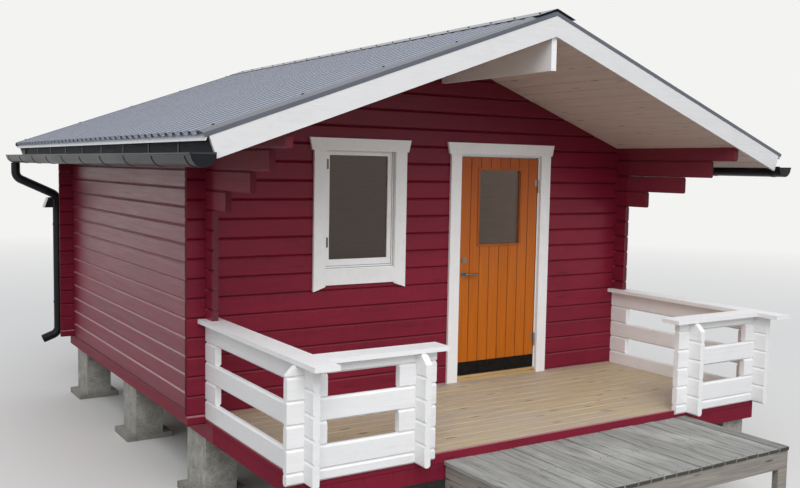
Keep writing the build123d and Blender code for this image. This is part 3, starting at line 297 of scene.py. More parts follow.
def place_along(tree, axis):
    """How far along an axis a point lies, in metres."""
    return add_node(tree, "SeparateXYZ", (add_node(tree, "TexCoord", output="Object"),), axis)


def slope_along(tree, axis):
    """How far a face looks along an axis, from -1 to 1."""
    normal = add_node(tree, "NewGeometry", output="True Normal")
    return add_node(tree, "SeparateXYZ", (normal,), axis)


def rows_past(tree, axis, first, pitch):
    """How many courses or boards a point lies past the first one, along an axis."""
    past = add_node(tree, "Math", (place_along(tree, axis), first), operation="SUBTRACT")
    return add_node(tree, "Math", (past, pitch), operation="DIVIDE")


def row_tone(tree, axis, first, pitch):
    """A random value from 0 to 1 for each course or board, counted along an axis."""
    row = add_node(tree, "Math", (rows_past(tree, axis, first, pitch),), operation="FLOOR")
    return add_node(tree, "TexWhiteNoise", {"W": row}, noise_dimensions="1D")


def seam(tree, axis, first, pitch, reach):
    """1 at a joint between two courses or boards, fading to 0 at its reach in metres."""
    past = rows_past(tree, axis, first, pitch)
    away = add_node(tree, "Math", (past, 0.5), operation="PINGPONG")
    return add_node(tree, "MapRange", (away, 0.0, reach / pitch, 1.0, 0.0))


def facing(tree, axis, low=0.85, high=0.95):
    """1 on faces that look along an axis, either way, and 0 on the others."""
    slope = add_node(tree, "Math", (slope_along(tree, axis),), operation="ABSOLUTE")
    return add_node(tree, "MapRange", (slope, low, high))


def board_tone(tree):
    """The random value that each laid board carries."""
    return add_node(tree, "Attribute", output="Fac", attribute_name="tone")


def slid(tree, tone, axis):
    """A shift of the pattern, different for each board, along its own run."""
    shift = add_node(tree, "Math", (tone, 7.0), operation="MULTIPLY")
    return add_node(tree, "CombineXYZ", {axis: shift})


def timber(tree, run, tone, knot_gap, knot_row):
    """Streaks, fine grain and knots along a board, as three values from 0 to 1."""
    shift = slid(tree, tone, 0 if run == "level" else RUNS[run])
    broad = patches(tree, grain_scale(run, *BROAD_STREAK), 5.0, 0.6, 0.6, shift)
    fine = patches(tree, grain_scale(run, *FINE_STREAK), 3.0, 0.6, 0.0, shift)
    place = stretched(tree, grain_scale(run, knot_gap, knot_row), shift)
    knots = add_node(tree, "TexVoronoi", {"Vector": place, "Scale": 1.0, "Randomness": 1.0},
                     "Distance", feature="F1")
    return (add_node(tree, "MapRange", (broad, 0.32, 0.68)),
            add_node(tree, "MapRange", (fine, 0.3, 0.7)),
            add_node(tree, "MapRange", (knots, 0.06, 0.17, 1.0, 0.0)))


def log_paint(name, first, shine, edge_highlight, ends=None, bare_inside=True):
    """Wine-red oil paint on planed spruce: satin, with the grain and knots showing through."""
    material, tree, shader = new_material(name)
    tone = row_tone(tree, 2, first, COURSE)
    broad, fine, knots = timber(tree, "level", tone, 0.5, 0.075)
    red = colours().log_red
    body = overlaid(tree, shade(red, 0.80), shade(red, 1.15), broad, 0.75)
    body = overlaid(tree, body, shade(red, 0.72), tone, 0.4)
    fade = patches(tree, (1.3, 1.3, 2.6), 4.0, 0.6)
    body = overlaid(tree, body, shade(red, 1.25), fade, 0.45, 0.4, 0.65)
    body = overlaid(tree, body, shade(red, 0.42), knots, 0.45)
    # Painted shade: close under the roof the paint is made deeper, where the roof's shade falls
    height = place_along(tree, 2)
    body = overlaid(tree, body, shade(red, 0.45), height, 0.5, *PAINTED_ROOF_SHADE)
    # Rain leaves faint dark runs below each joint, and the joint itself is darker, partly soiled
    # and partly painted shade
    past = add_node(tree, "Math", (rows_past(tree, 2, first, COURSE),), operation="FRACT")
    below = add_node(tree, "MapRange", (past, 0.4, 0.95))
    drips = add_node(tree, "MapRange", (patches(tree, (45, 45, 4), 3.0, 0.6), 0.52, 0.66))
    runs = add_node(tree, "Math", (below, drips), operation="MULTIPLY")
    body = overlaid(tree, body, shade(red, 0.5), runs, 0.4)
    body = overlaid(tree, body, shade(red, 0.15), seam(tree, 2, first, COURSE, 0.004), 0.85)
    # Painted highlight: the upper edges are painted pale, as if the sky glinted on them, most of
    # all low down, where no roof hides the sky
    upward = add_node(tree, "MapRange", (slope_along(tree, 2), 0.25, 0.5))
    highlight_by_height = add_node(tree, "MapRange", (height, *EDGE_HIGHLIGHT_HEIGHTS, edge_highlight, edge_highlight * 0.1))
    wear_and_glint = add_node(tree, "Math", (upward, highlight_by_height), operation="MULTIPLY")
    porch = -WALL_OUTSIDE.y
    if bare_inside:
        behind = add_node(tree, "MapRange", (place_along(tree, 1), porch - 0.03, porch))
        wear_and_glint = add_node(tree, "Math", (wear_and_glint, behind), operation="MULTIPLY")
    body = overlaid(tree, body, linear("#DDB4B8"), wear_and_glint)
    end_grain = 0.0
    if ends is not None:
        # End grain drinks more paint and stays darker and matt
        end_grain = facing(tree, ends)
        body = overlaid(tree, body, shade(red, 0.35), end_grain, 0.7)
    if bare_inside:
        # The room's side was never painted: it is pine gone yellow
        inside = 1.0
        for axis in (0, 1):
            reach = WALL_OUTSIDE[axis] - LOG_THICKNESS + 0.001
            off = add_node(tree, "Math", (place_along(tree, axis),), operation="ABSOLUTE")
            within = add_node(tree, "Math", (off, reach), operation="LESS_THAN")
            inside = add_node(tree, "Math", (inside, within), operation="MULTIPLY")
        pine = overlaid(tree, linear("#C79E68"), linear("#DDBB88"), broad)
        pine = overlaid(tree, pine, linear("#8A5A30"), knots, 0.7)
        body = overlaid(tree, body, pine, inside)
    # Log ends under the porch roof stay matt, and splashes from the ground dull the low logs
    rough = add_node(tree, "MapRange", (place_along(tree, 1), porch - 0.16, porch - 0.14, 0.3, 0.0))
    for more in (add_node(tree, "MapRange", (broad, 0.0, 1.0, 0.30, 0.42)),
                 add_node(tree, "MapRange", (height, *SPLASHES, 0.2, 0.0)),
                 add_node(tree, "Math", (end_grain, 0.4), operation="MULTIPLY")):
        rough = add_node(tree, "Math", (rough, more), operation="ADD")
    relief = add_node(tree, "Math", (fine, 0.5, broad), operation="MULTIPLY_ADD")
    finish_surface(tree, shader, body, rough, shine, relief, 0.0010, 0.5)
    return material


def white_paint(name, run, grime_and_shade=0.0, seal_and_shade=None):
    """White alkyd paint on planed timber: soft gloss, the grain just raised, greyed in soiled
    patches, and more where a share of painted shade is given.
    """
    material, tree, shader = new_material(name)
    tone = row_tone(tree, 2, RAIL_FIRST, COURSE)
    broad, fine, knots = timber(tree, run, tone, 0.4, 0.07)
    white = colours().rail_white
    body = overlaid(tree, shade(white, 0.96), white, broad)
    body = overlaid(tree, body, linear("#C9BB9A"), knots, 0.10)
    # Soiling greys the paint in patches; where a share is given, as on the bargeboards, it greys
    # further, partly soiled and partly painted shade of the verge trim
    dirt = patches(tree, (5, 5, 9), 6.0, 0.65)
    dirt = add_node(tree, "MapRange", (dirt, 0.5, 0.75, grime_and_shade, grime_and_shade + 0.08))
    body = overlaid(tree, body, linear("#9D9A98"), dirt)
    if seal_and_shade is not None:
        # A black rubber seal fills the rebate between these two depths, and its black is also
        # painted shade in the gap round the sash or leaf
        depth = place_along(tree, 1)
        behind = add_node(tree, "Math", (depth, seal_and_shade[0]), operation="GREATER_THAN")
        before = add_node(tree, "Math", (depth, seal_and_shade[1]), operation="LESS_THAN")
        sealed_and_shaded = add_node(tree, "Math", (behind, before), operation="MULTIPLY")
        body = overlaid(tree, body, linear("#1E1C1B"), sealed_and_shaded)
    rough = add_node(tree, "MapRange", (fine, 0.0, 1.0, 0.36, 0.5))
    relief = add_node(tree, "Math", (fine, broad), operation="ADD")
    finish_surface(tree, shader, body, rough, 0.5, relief, 0.0008, 0.45)
    return material


def door_stain(name, boarded, depth=1.0):
    """Amber glazing stain on pine boards: the vertical grain shows, with painted shade making it
    darker and redder towards the top.
    """
    material, tree, shader = new_material(name)
    pitch = (leaf_high.x - leaf_low.x) / DOOR_BOARDS
    tone = row_tone(tree, 0, leaf_low.x, pitch)
    broad, fine, knots = timber(tree, "z", tone, 0.6, 0.06)
    amber = shade(colours().door_amber, depth)
    # Painted shade: the upper part of the door is painted darker and redder, where the porch roof
    # shades it
    body = overlaid(tree, amber, linear("#A94E1B"), place_along(tree, 2), 1.0,
                    leaf_low.z + 0.9, leaf_high.z)
    body = overlaid(tree, body, linear("#97480B"), broad, 0.45)
    body = overlaid(tree, body, linear("#CC7420"), tone, 0.18)
    body = overlaid(tree, body, linear("#7A3A0C"), knots, 0.45)
    if boarded:
        groove = seam(tree, 0, leaf_low.x, pitch, 0.006)
        body = overlaid(tree, body, linear("#45200A"), groove, 0.8)
    rough = add_node(tree, "MapRange", (fine, 0.0, 1.0, 0.30, 0.42))
    relief = add_node(tree, "Math", (fine, broad), operation="ADD")
    finish_surface(tree, shader, body, rough, 0.3, relief, 0.0006, 0.5)
    return material


def bare_timber(name, run, base, light, dark, knot, rough=(0.55, 0.7), relief=0.0009,
                streak=0.75, board_spread=0.6, shine=0.5, wear_and_glint=None):
    """Planed or sawn softwood, bare, oiled, glazed or thinly painted: the grain shows through."""
    material, tree, shader = new_material(name)
    tone = board_tone(tree)
    broad, fine, knots = timber(tree, run, tone, 0.36, 0.055)
    body = overlaid(tree, base, light, tone, board_spread)
    body = overlaid(tree, body, dark, broad, streak)
    body = overlaid(tree, body, light, fine, 0.25)
    if wear_and_glint is not None:
        # Feet and weather grey the boards in broad patches
        patch = patches(tree, (0.9, 1.6, 1.0), 5.0, 0.65, 0.0, slid(tree, tone, 0))
        body = overlaid(tree, body, wear_and_glint, patch, 0.65, 0.42, 0.66)
    body = overlaid(tree, body, knot, knots, 0.9)
    satin = add_node(tree, "MapRange", (fine, 0.0, 1.0, *rough))
    height = add_node(tree, "Math", (broad, 1.5, fine), operation="MULTIPLY_ADD")
    finish_surface(tree, shader, body, satin, shine, height, relief, 0.6)
    return material


def weathered_plank(name):
    """Spruce planks gone silver-grey outdoors: raised grain, pale streaks and dark damp ones."""
    material, tree, shader = new_material(name)
    tone = board_tone(tree)
    shift = slid(tree, tone, 1)
    broad, fine, knots = timber(tree, "y", tone, 0.4, 0.05)
    grey = colours().landing_grey
    body = overlaid(tree, shade(grey, 0.62), shade(grey, 1.25), tone)
    body = overlaid(tree, body, linear("#6A675E"), broad, 0.8)
    body = overlaid(tree, body, linear("#BDBDB6"), fine, 0.5)
    # Long shrinkage cracks, drawn some 4 mm wide so that they show
    split = patches(tree, grain_scale("y", 0.5, 0.011), 2.0, 0.55, 0.0, shift)
    body = overlaid(tree, body, linear("#35322C"), split, 0.7, 0.64, 0.70)
    patch = patches(tree, (3, 1.4, 3), 4.0, 0.6, 0.0, shift)
    body = overlaid(tree, body, linear("#CDCDC8"), patch, 0.6, 0.48, 0.66)
    body = overlaid(tree, body, linear("#3F3A32"), knots, 0.7)
    # The sawn ends soak up water and stay dark
    body = overlaid(tree, body, linear("#2E2A25"), facing(tree, 1), 0.9)
    height = add_node(tree, "Math", (broad, 2.0, fine), operation="MULTIPLY_ADD")
    finish_surface(tree, shader, body, 0.82, 0.5, height, 0.002, 0.8)
    return material


def coated_steel(name, colour, rough, dust=0.08, shine=0.5, ribbed=False):
    """Polyester-coated steel: an even colour with a soft gloss and a thin film of dust."""
    material, tree, shader = new_material(name)
    film = patches(tree, (1.6, 1.6, 1.6), 5.0, 0.6)
    body = overlaid(tree, colour, linear("#B4B6BC"), film, dust, 0.40, 0.70)
    waves = None
    if ribbed:
        # Painted reflection: the steep flanks of the ribs are painted darker, as if they mirrored
        # dark ground
        body = overlaid(tree, body, linear("#2C313B"), facing(tree, 1, 0.4, 0.6), 0.62)
    else:
        # Flat sheet is never quite flat: its waves are some 300 mm long
        waves = patches(tree, (3.5, 3.5, 3.5), 1.0, 0.4)
    gloss = add_node(tree, "MapRange", (film, 0.3, 0.7, rough - 0.03, rough + 0.06))
    finish_surface(tree, shader, body, gloss, shine, waves, 0.0010, 0.15)
    return material


def brushed_metal(name, hex_colour, rough=0.32):
    """Stainless steel or zinc plate, brushed or dulled: a metal's own shine, with a fine satin."""
    material, tree, shader = new_material(name)
    lines = patches(tree, (40, 400, 400), 3.0, 0.6)
    bright = linear(hex_colour)
    body = overlaid(tree, shade(bright, 0.8), bright, lines, 1.0, 0.35, 0.65)
    satin = add_node(tree, "MapRange", (lines, 0.3, 0.7, rough - 0.06, rough + 0.1))
    finish_surface(tree, shader, body, satin)
    shader.inputs["Metallic"].default_value = 1.0
    return material


def dark_metal(name, hex_colour, rough=0.36, shine=0.5):
    """Near-black steel or rubber: enamelled, blackened or rusted, and a little dusty."""
    material, tree, shader = new_material(name)
    film = patches(tree, (30, 30, 30), 4.0, 0.6)
    body = overlaid(tree, linear(hex_colour), linear("#55534E"), film, 0.15, 0.45, 0.75)
    gloss = add_node(tree, "MapRange", (film, 0.3, 0.7, rough - 0.05, rough + 0.1))
    finish_surface(tree, shader, body, gloss, shine)
    return material


def cast_concrete(name, hex_light, hex_dark):
    """Pressed or cast concrete: open sandy pores, uneven in tone, damp and soil low down."""
    material, tree, shader = new_material(name)
    light = linear(hex_light)
    mottle = patches(tree, (9, 9, 9), 6.0, 0.7)
    sand = patches(tree, (140, 140, 140), 3.0, 0.6)
    pores = add_node(tree, "TexVoronoi", {"Vector": stretched(tree, (55, 55, 55)), "Scale": 1.0},
                     "Distance", feature="F1")
    hole = add_node(tree, "MapRange", (pores, 0.12, 0.3, 1.0, 0.0))
    body = overlaid(tree, linear(hex_dark), light, mottle, 1.0, 0.35, 0.65)
    body = overlaid(tree, body, shade(light, 1.2), sand, 0.5, 0.4, 0.7)
    body = overlaid(tree, body, linear("#4A4741"), hole, 0.6)
    low = add_node(tree, "MapRange", (place_along(tree, 2), 0.0, 0.16, 0.65, 0.0))
    damp = add_node(tree, "Math", (low, mottle), operation="MULTIPLY")
    body = overlaid(tree, body, linear("#4E463A"), damp)
    grit = add_node(tree, "Math", (sand, 0.6), operation="MULTIPLY")
    relief = add_node(tree, "Math", (grit, hole), operation="SUBTRACT")
    finish_surface(tree, shader, body, 0.92, 0.5, relief, 0.002, 0.7)
    return material


def window_pane(name):
    """Double glazing: four faces mirror what lies in front, over a dim pine room, and warm tints
    add a painted brown reflection.
    """
    material, tree = new_material(name)[:2]
    tree.nodes.clear()
    # Painted reflection: the warm tints on the mirror and on what shows through brown the pane, as
    # ground mirrored in front of it would
    gloss = add_node(tree, "BsdfGlossy", {"Color": linear("#FFF1EB"), "Roughness": 0.02})
    clear = add_node(tree, "BsdfTransparent", (linear("#B3A190"),))
    fresnel = add_node(tree, "Fresnel", (1.5,))
    mirror = add_node(tree, "Math", (fresnel, 1.4), operation="MULTIPLY", use_clamp=True)
    both = add_node(tree, "MixShader", (mirror, clear, gloss))
    add_node(tree, "OutputMaterial", (both,))
    return material


def opal_lens(name):
    """Opal polycarbonate of the lamp: milky and pale, softly glossy, a little uneven."""
    material, tree, shader = new_material(name)
    milk = patches(tree, (25, 25, 25), 3.0)
    body = overlaid(tree, linear("#CFD2CE"), linear("#EBECE8"), milk)
    finish_surface(tree, shader, body, 0.28)
    return material


def paint(node, material):
    """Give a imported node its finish."""
    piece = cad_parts[node]
    piece.data.materials.clear()
    piece.data.materials.append(material)


def add_block(mesh, low, high, soften=0.0, segments=1, tone=None):
    """Add a box between two corners to a mesh, its edges softened, with its own tone."""
    made = bmesh.ops.create_cube(mesh, size=1.0)["verts"]
    bmesh.ops.scale(mesh, vec=high - low, verts=made)
    bmesh.ops.translate(mesh, vec=(low + high) / 2, verts=made)
    if soften > 0:
        edges = list(dict.fromkeys(edge for vert in made for edge in vert.link_edges))
        bmesh.ops.bevel(mesh, geom=edges, offset=soften, segments=segments, profile=0.5,
                        affect="EDGES", material=-1)
    # The bevel makes new vertices, so this block's own are those without a tag
    if tone is not None:
        layer = mesh.verts.layers.float.get("tone") or mesh.verts.layers.float.new("tone")
        for vert in mesh.verts:
            if not vert.tag:
                vert[layer] = tone
    for vert in mesh.verts:
        vert.tag = True


def add_ring(mesh, low, high, width):
    """Add a flat rectangular ring of four bars that stands upright along X."""
    for start, end in ((low.z, low.z + width), (high.z - width, high.z)):
        add_block(mesh, Vector((low.x, low.y, start)), Vector((high.x, high.y, end)))
    for start, end in ((low.x, low.x + width), (high.x - width, high.x)):
        add_block(mesh, Vector((start, low.y, low.z + width)),
                  Vector((end, high.y, high.z - width)))


def add_disc(mesh, place, turn, radius, height, sides):
    """Add a short round peg: its foot at a place, its axis turned from Z."""
    made = bmesh.ops.create_cone(mesh, cap_ends=True, segments=sides, radius1=radius,
                                 radius2=radius, depth=height)["verts"]
    bmesh.ops.translate(mesh, vec=(0, 0, height / 2), verts=made)
    bmesh.ops.rotate(mesh, cent=(0, 0, 0), matrix=turn, verts=made)
    bmesh.ops.translate(mesh, vec=place, verts=made)


def finish_piece(name, mesh, material, body, replaces=()):
    """Make an object of a finished mesh, paint it and let it ride with its body."""
    bmesh.ops.recalc_face_normals(mesh, faces=mesh.faces)
    data = bpy.data.meshes.new(name)
    mesh.to_mesh(data)
    mesh.free()
    piece = bpy.data.objects.new(name, data)
    bpy.context.scene.collection.objects.link(piece)
    data.materials.append(material)
    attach(piece, body)
    if replaces:
        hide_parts(*replaces)


def row_edges(start, end, pitch, dice, uneven=0.0):
    """The seams between boards laid side by side, evenly or a little unevenly."""
    count = max(1, round((end - start) / pitch))
    step = (end - start) / count
    even = [start + step * row for row in range(count + 1)]
    between = [place + dice.uniform(-uneven, uneven) for place in even[1:-1]]
    return [even[0], *between, even[-1]]


class COTTAGE_OT_paint_walls(bpy.types.Operator):
    """Paint the log walls, gables, base beams and rim wine red"""

    bl_idname = "cottage.paint_walls"
    bl_label = "Paint walls"

    def execute(self, context):
        # One red paint in three copies: the side logs get strong shine and a strong painted
        # highlight on their upper edges, the cross logs and the base little of either, as painted
        # reflections of a bright sky at the side and dark ground in front
        side = log_paint("red_paint_side_logs", SIDE_FIRST, 0.68, 0.6, 1)
        front = log_paint("red_paint_cross_logs", FRONT_FIRST, 0.22, 0.05, 0)
        base = log_paint("red_paint_base", SIDE_FIRST, 0.25, 0.35, bare_inside=False)
        for node in ("left_wall", "right_wall"):
            paint(node, side)
        for node in ("rear_wall", "rear_gable", "front_gable", "front_wall_left",
                     "front_wall_right"):
            paint(node, front)
        for node in ("base_beams", "porch_rim"):
            paint(node, base)
        return {"FINISHED"}


class COTTAGE_OT_paint_rails(bpy.types.Operator):
    """Paint the porch rails, bargeboards, casings and window white"""

    bl_idname = "cottage.paint_rails"
    bl_label = "Paint rails and trim"

    def execute(self, context):
        level = white_paint("white_paint_rails", "level")
        upright = white_paint("white_paint_casings", "z")
        for node in ("left_rail", "right_rail", "front_rail_left", "front_rail_right",
                     "rail_caps", "ridge_beam"):
            paint(node, level)
        # The bargeboards are greyed, partly soiled and partly painted shade from the verge trim
        # above
        paint("bargeboards", white_paint("white_paint_bargeboards", "level", 0.28))
        for node in ("window_sash", "window_casing", "door_casing"):
            paint(node, upright)
        for node, closer in (("window_frame", "window_sash"), ("door_frame", "door_leaf")):
            front, back = (corner.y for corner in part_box(closer))
            paint(node, white_paint("white_paint_" + node, "z", seal_and_shade=(front + SEAL_SHADE_BEHIND, back)))
        return {"FINISHED"}


class COTTAGE_OT_lay_deck(bpy.types.Operator):
    """Lay the porch deck of planed pine boards along the front wall"""

    bl_idname = "cottage.lay_deck"
    bl_label = "Lay deck"

    def execute(self, context):
        dice = random.Random(11)
        half_gap = sizes().deck_gap / 2
        mesh = bmesh.new()
        seams = row_edges(deck_low.y, deck_high.y, sizes().deck_board, dice)
        for near, far in zip(seams, seams[1:]):
            add_block(mesh, Vector((deck_low.x, near + half_gap, deck_low.z)),
                      Vector((deck_high.x, far - half_gap, deck_high.z - dice.uniform(0, 0.0006))),
                      0.003, 1, dice.random())
        pine = colours().deck_pine
        material = bare_timber("planed_pine_deck", "x", pine, linear("#E0D0AE"),
                               linear("#A08760"), linear("#543723"), wear_and_glint=linear("#B9AEA4"))
        finish_piece("deck_boards", mesh, material, "cottage", ["porch_deck"])
        nails = bmesh.new()
        count = round((deck_high.x - deck_low.x) / sizes().joist_spacing)
        step = (deck_high.x - deck_low.x - 2 * NAIL_EDGE) / count
        for near, far in zip(seams, seams[1:]):
            for row in range(count + 1):
                for y in (near + NAIL_EDGE, far - NAIL_EDGE):
                    add_nail(nails, deck_low.x + NAIL_EDGE + row * step, y, deck_high.z, dice)
        finish_piece("deck_nails", nails, dark_metal("blackened_nail_steel", "#4A443C"), "cottage")
        return {"FINISHED"}


class COTTAGE_OT_lay_landing(bpy.types.Operator):
    """Lay the landing's weathered planks, uneven in width, gap and length"""

    bl_idname = "cottage.lay_landing"
    bl_label = "Lay landing"

    def execute(self, context):
        dice = random.Random(23)
        mesh = bmesh.new()
        nails = bmesh.new()
        gap = sizes().landing_gap
        seams = row_edges(landing_low.x, landing_high.x, sizes().landing_plank, dice,
                          SEAM_ASTRAY)
        nail_rows = (landing_low.y + NAIL_EDGE, (landing_low.y + landing_high.y) / 2,
                     landing_high.y - NAIL_EDGE)
        for near, far in zip(seams, seams[1:]):
            wide = gap * dice.choice(PLANK_GAPS)
            low = Vector((near + wide, landing_low.y + dice.uniform(0, PLANK_SHORTER),
                          landing_low.z))
            high = Vector((far - gap * dice.uniform(0.1, 0.6), landing_high.y,
                           landing_high.z - dice.uniform(0, PLANK_LOWER)))
            add_block(mesh, low, high, 0.0035, 2, dice.random())
            for x in (near + NAIL_EDGE, far - NAIL_EDGE):
                for y in nail_rows:
                    # All heads at one level, proud of low planks and driven into high ones
                    add_nail(nails, x, y, landing_high.z - PLANK_LOWER / 2, dice)
        material = weathered_plank("weathered_spruce_planks")
        finish_piece("landing_planks", mesh, material, "cottage",
                     ["landing_boards"])
        finish_piece("landing_nails", nails, dark_metal("rusted_nail_steel", "#463A30"),
                     "cottage")
        paint("landing_frame", bare_timber(
            "weathered_spruce_beams", "level", linear("#A39C92"), linear("#BDB8B0"),
            linear("#6A635A"), linear("#3C352D"), (0.75, 0.88), 0.0018))
        return {"FINISHED"}


class COTTAGE_OT_board_ceiling(bpy.types.Operator):
    """Board the underside of the roof with tongued boards from front to back"""

    bl_idname = "cottage.board_ceiling"
    bl_label = "Board ceiling"

    def execute(self, context):
        dice = random.Random(31)
        mesh = bmesh.new()
        reach = ceiling_high.x / cos(ROOF_SLOPE)
        seams = row_edges(0.0, reach, sizes().soffit_board, dice)
        apex = ceiling_low.z + ceiling_high.x * tan(ROOF_SLOPE)
        for side in (-1, 1):
            turn = Matrix.Rotation(side * ROOF_SLOPE, 3, "Y")
            for near, far in zip(seams, seams[1:]):
                # The first board stops short of the ridge, where it meets the one opposite
                before = len(mesh.verts)
                inner = max(near, SOFFIT_THICKNESS * tan(ROOF_SLOPE))
                left, right = sorted((side * (inner + SOFFIT_HALF_JOINT),
                                      side * (far - SOFFIT_HALF_JOINT)))
                add_block(mesh, Vector((left, ceiling_low.y, 0)),
                          Vector((right, ceiling_high.y, SOFFIT_THICKNESS)), SOFFIT_CHAMFER, 1,
                          dice.random())
                mesh.verts.ensure_lookup_table()
                fresh = mesh.verts[before:]
                bmesh.ops.rotate(mesh, cent=(0, 0, 0), matrix=turn, verts=fresh)
                bmesh.ops.translate(mesh, vec=(0, 0, apex), verts=fresh)
        beige = colours().soffit_beige
        material = bare_timber("glazed_soffit_boards", "y", shade(beige, 0.94), shade(beige, 1.15),
                               shade(beige, 0.80), shade(beige, 0.5), (0.5, 0.62), 0.0006, 0.5,
                               1.0)
        finish_piece("soffit_boards", mesh, material, "cottage",
                     ["ceiling_boards"])
        return {"FINISHED"}


class COTTAGE_OT_lay_floor(bpy.types.Operator):
    """Lay the floor boards of the room"""

    bl_idname = "cottage.lay_floor"
    bl_label = "Lay floor"

    def execute(self, context):
        dice = random.Random(47)
        mesh = bmesh.new()
        seams = row_edges(room_low.y, room_high.y, sizes().floor_board, dice)
        for near, far in zip(seams, seams[1:]):
            add_block(mesh, Vector((room_low.x, near + 0.0004, room_low.z)),
                      Vector((room_high.x, far - 0.0004, room_high.z)), 0.0015, 1, dice.random())
        material = bare_timber("varnished_pine_floor", "x", linear("#C99A5E"), linear("#DDB57E"),
                               linear("#A97B45"), linear("#6F4522"), (0.28, 0.4), 0.0003)
        finish_piece("floor_boards", mesh, material, "cottage", ["floor"])
        sawn = bare_timber("sawn_spruce_frame", "level", linear("#B08A5A"), linear("#C6A273"),
                           linear("#8C6A40"), linear("#5A3A1E"), (0.7, 0.85), 0.0015)
        paint("joists", sawn)
        paint("rafter_panels", sawn)
        return {"FINISHED"}


class COTTAGE_OT_roof_metal(bpy.types.Operator):
    """Finish the roof's sheets, trims, flashings, gutters and pipes, and drive their screws"""

    bl_idname = "cottage.roof_metal"
    bl_label = "Roof metal"

    def execute(self, context):
        # The sheet's lightened grey is a painted reflection of the sky; the trims take a darker
        # share of it
        grey = colours().sheet_grey_and_sky_sheen
        sheet = coated_steel("coated_roof_sheet", grey, 0.24, ribbed=True)
        trim = coated_steel("coated_roof_trim", shade(grey, 0.30), 0.22, 0.05)
        for node in ("roof_sheet_left", "roof_sheet_right"):
            paint(node, sheet)
        for node in ("verge_trims", "ridge_cap"):
            paint(node, trim)
        paint("drip_flashings", coated_steel("coated_drip_flashing", linear("#F1F5F8"), 0.3,
                                             shine=0.9))
        black = coated_steel("coated_gutter_black", linear("#12141A"), 0.33, 0.03, 0.2)
        for node in ("gutter_left", "gutter_right", "downpipe_left", "downpipe_right",
                     "gutter_hooks", "pipe_brackets", "corner_lamp"):
            paint(node, black)
        paint("lamp_lens", opal_lens("opal_lamp_lens"))
        boards = bare_timber("slate_fascia_paint", "y", linear("#20252E"), linear("#2A303B"),
                             linear("#191D25"), linear("#12151A"), (0.45, 0.6), 0.0008,
                             shine=0.12)
        paint("fascia_boards", boards)
        self.drive_screws(black)
        return {"FINISHED"}

    def drive_screws(self, material):
        """Hex screws with washers along the verge trims, the ridge cap and the sheets."""
        mesh = bmesh.new()
        radius = sizes().screw_head / 2
        trim_low, trim_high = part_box("verge_trims")
        cap_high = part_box("ridge_cap")[1]
        spacing = sizes().screw_spacing
        reach = trim_high.x / cos(ROOF_SLOPE)
        first = trim_low.y + FIRST_RIB
        last = trim_high.y - FIRST_RIB
        ribs = round((last - first) / RIB_PITCH)
        step = (last - first) / ribs
        span = reach - SCREWS_FROM_RIDGE - SCREWS_FROM_EAVES
        rows = round(span / spacing)
        for side in (-1, 1):
            turn = Matrix.Rotation(side * ROOF_SLOPE, 3, "Y")
            for row in range(rows + 1):
                along = SCREWS_FROM_RIDGE + row * span / rows
                for y in (first, last):
                    add_screw(mesh, roof_point(side, along, y, trim_high.z), turn, radius)
                for pan in range(1, ribs - 1, 2):
                    y = first + (pan + 0.5) * step
                    place = roof_point(side, along, y, trim_high.z - PAN_DEPTH / cos(ROOF_SLOPE))
                    add_screw(mesh, place, turn, radius)
            for rib in range(0, ribs + 1, 2):
                place = roof_point(side, CAP_SCREWS, first + rib * step, cap_high.z)
                add_screw(mesh, place, turn, radius)
        finish_piece("roof_screws", mesh, material, "cottage")


def roof_point(side, along, y, apex):
    """A point down one slope of the roof, on the plane that meets the ridge at a height."""
    return Vector((side * along * cos(ROOF_SLOPE), y, apex - along * sin(ROOF_SLOPE)))


def add_nail(mesh, x, y, level, dice):
    """The round head of a nail, a little off its line."""
    place = Vector((x + dice.uniform(-NAIL_ASTRAY, NAIL_ASTRAY),
                    y + dice.uniform(-NAIL_ASTRAY, NAIL_ASTRAY), level - NAIL_SUNK))
    add_disc(mesh, place, Matrix.Identity(3), NAIL_RADIUS, NAIL_HEIGHT, 8)


def add_screw(mesh, place, turn, radius):
    """A roofing screw: a flat washer and a hexagon head."""
    add_disc(mesh, place, turn, radius, WASHER_HEIGHT, 12)
    above = place + turn @ Vector((0, 0, WASHER_HEIGHT))
    add_disc(mesh, above, turn, radius * HEAD_SHARE, HEAD_HEIGHT, 6)


class COTTAGE_OT_fit_door(bpy.types.Operator):
    """Stain the door and finish its glass, plate, lock, lever, hinges and threshold"""

    bl_idname = "cottage.fit_door"
    bl_label = "Fit door"

    def execute(self, context):
        paint("door_leaf", door_stain("amber_stained_boards", True))
        paint("glazing_beads", door_stain("amber_stained_beads", False, 0.6))
        paint("door_glass", window_pane("float_glass_door"))
        paint("kick_plate", dark_metal("black_kick_plate", "#0B0B0C", shine=0.2))
        steel = brushed_metal("brushed_stainless", "#8F8D88")
        for node in ("door_lock", "door_lever"):
            paint(node, steel)
        for node in ("hinge_frame_halves", "hinge_leaf_halves"):
            paint(node, brushed_metal("dulled_zinc_hinge", "#A8A6A0", 0.42))
        pine = bare_timber("oiled_threshold", "x", linear("#C9A877"), linear("#D9BD90"),
                           linear("#9C7A4B"), linear("#6A4726"))
        paint("door_threshold", pine)
        return {"FINISHED"}


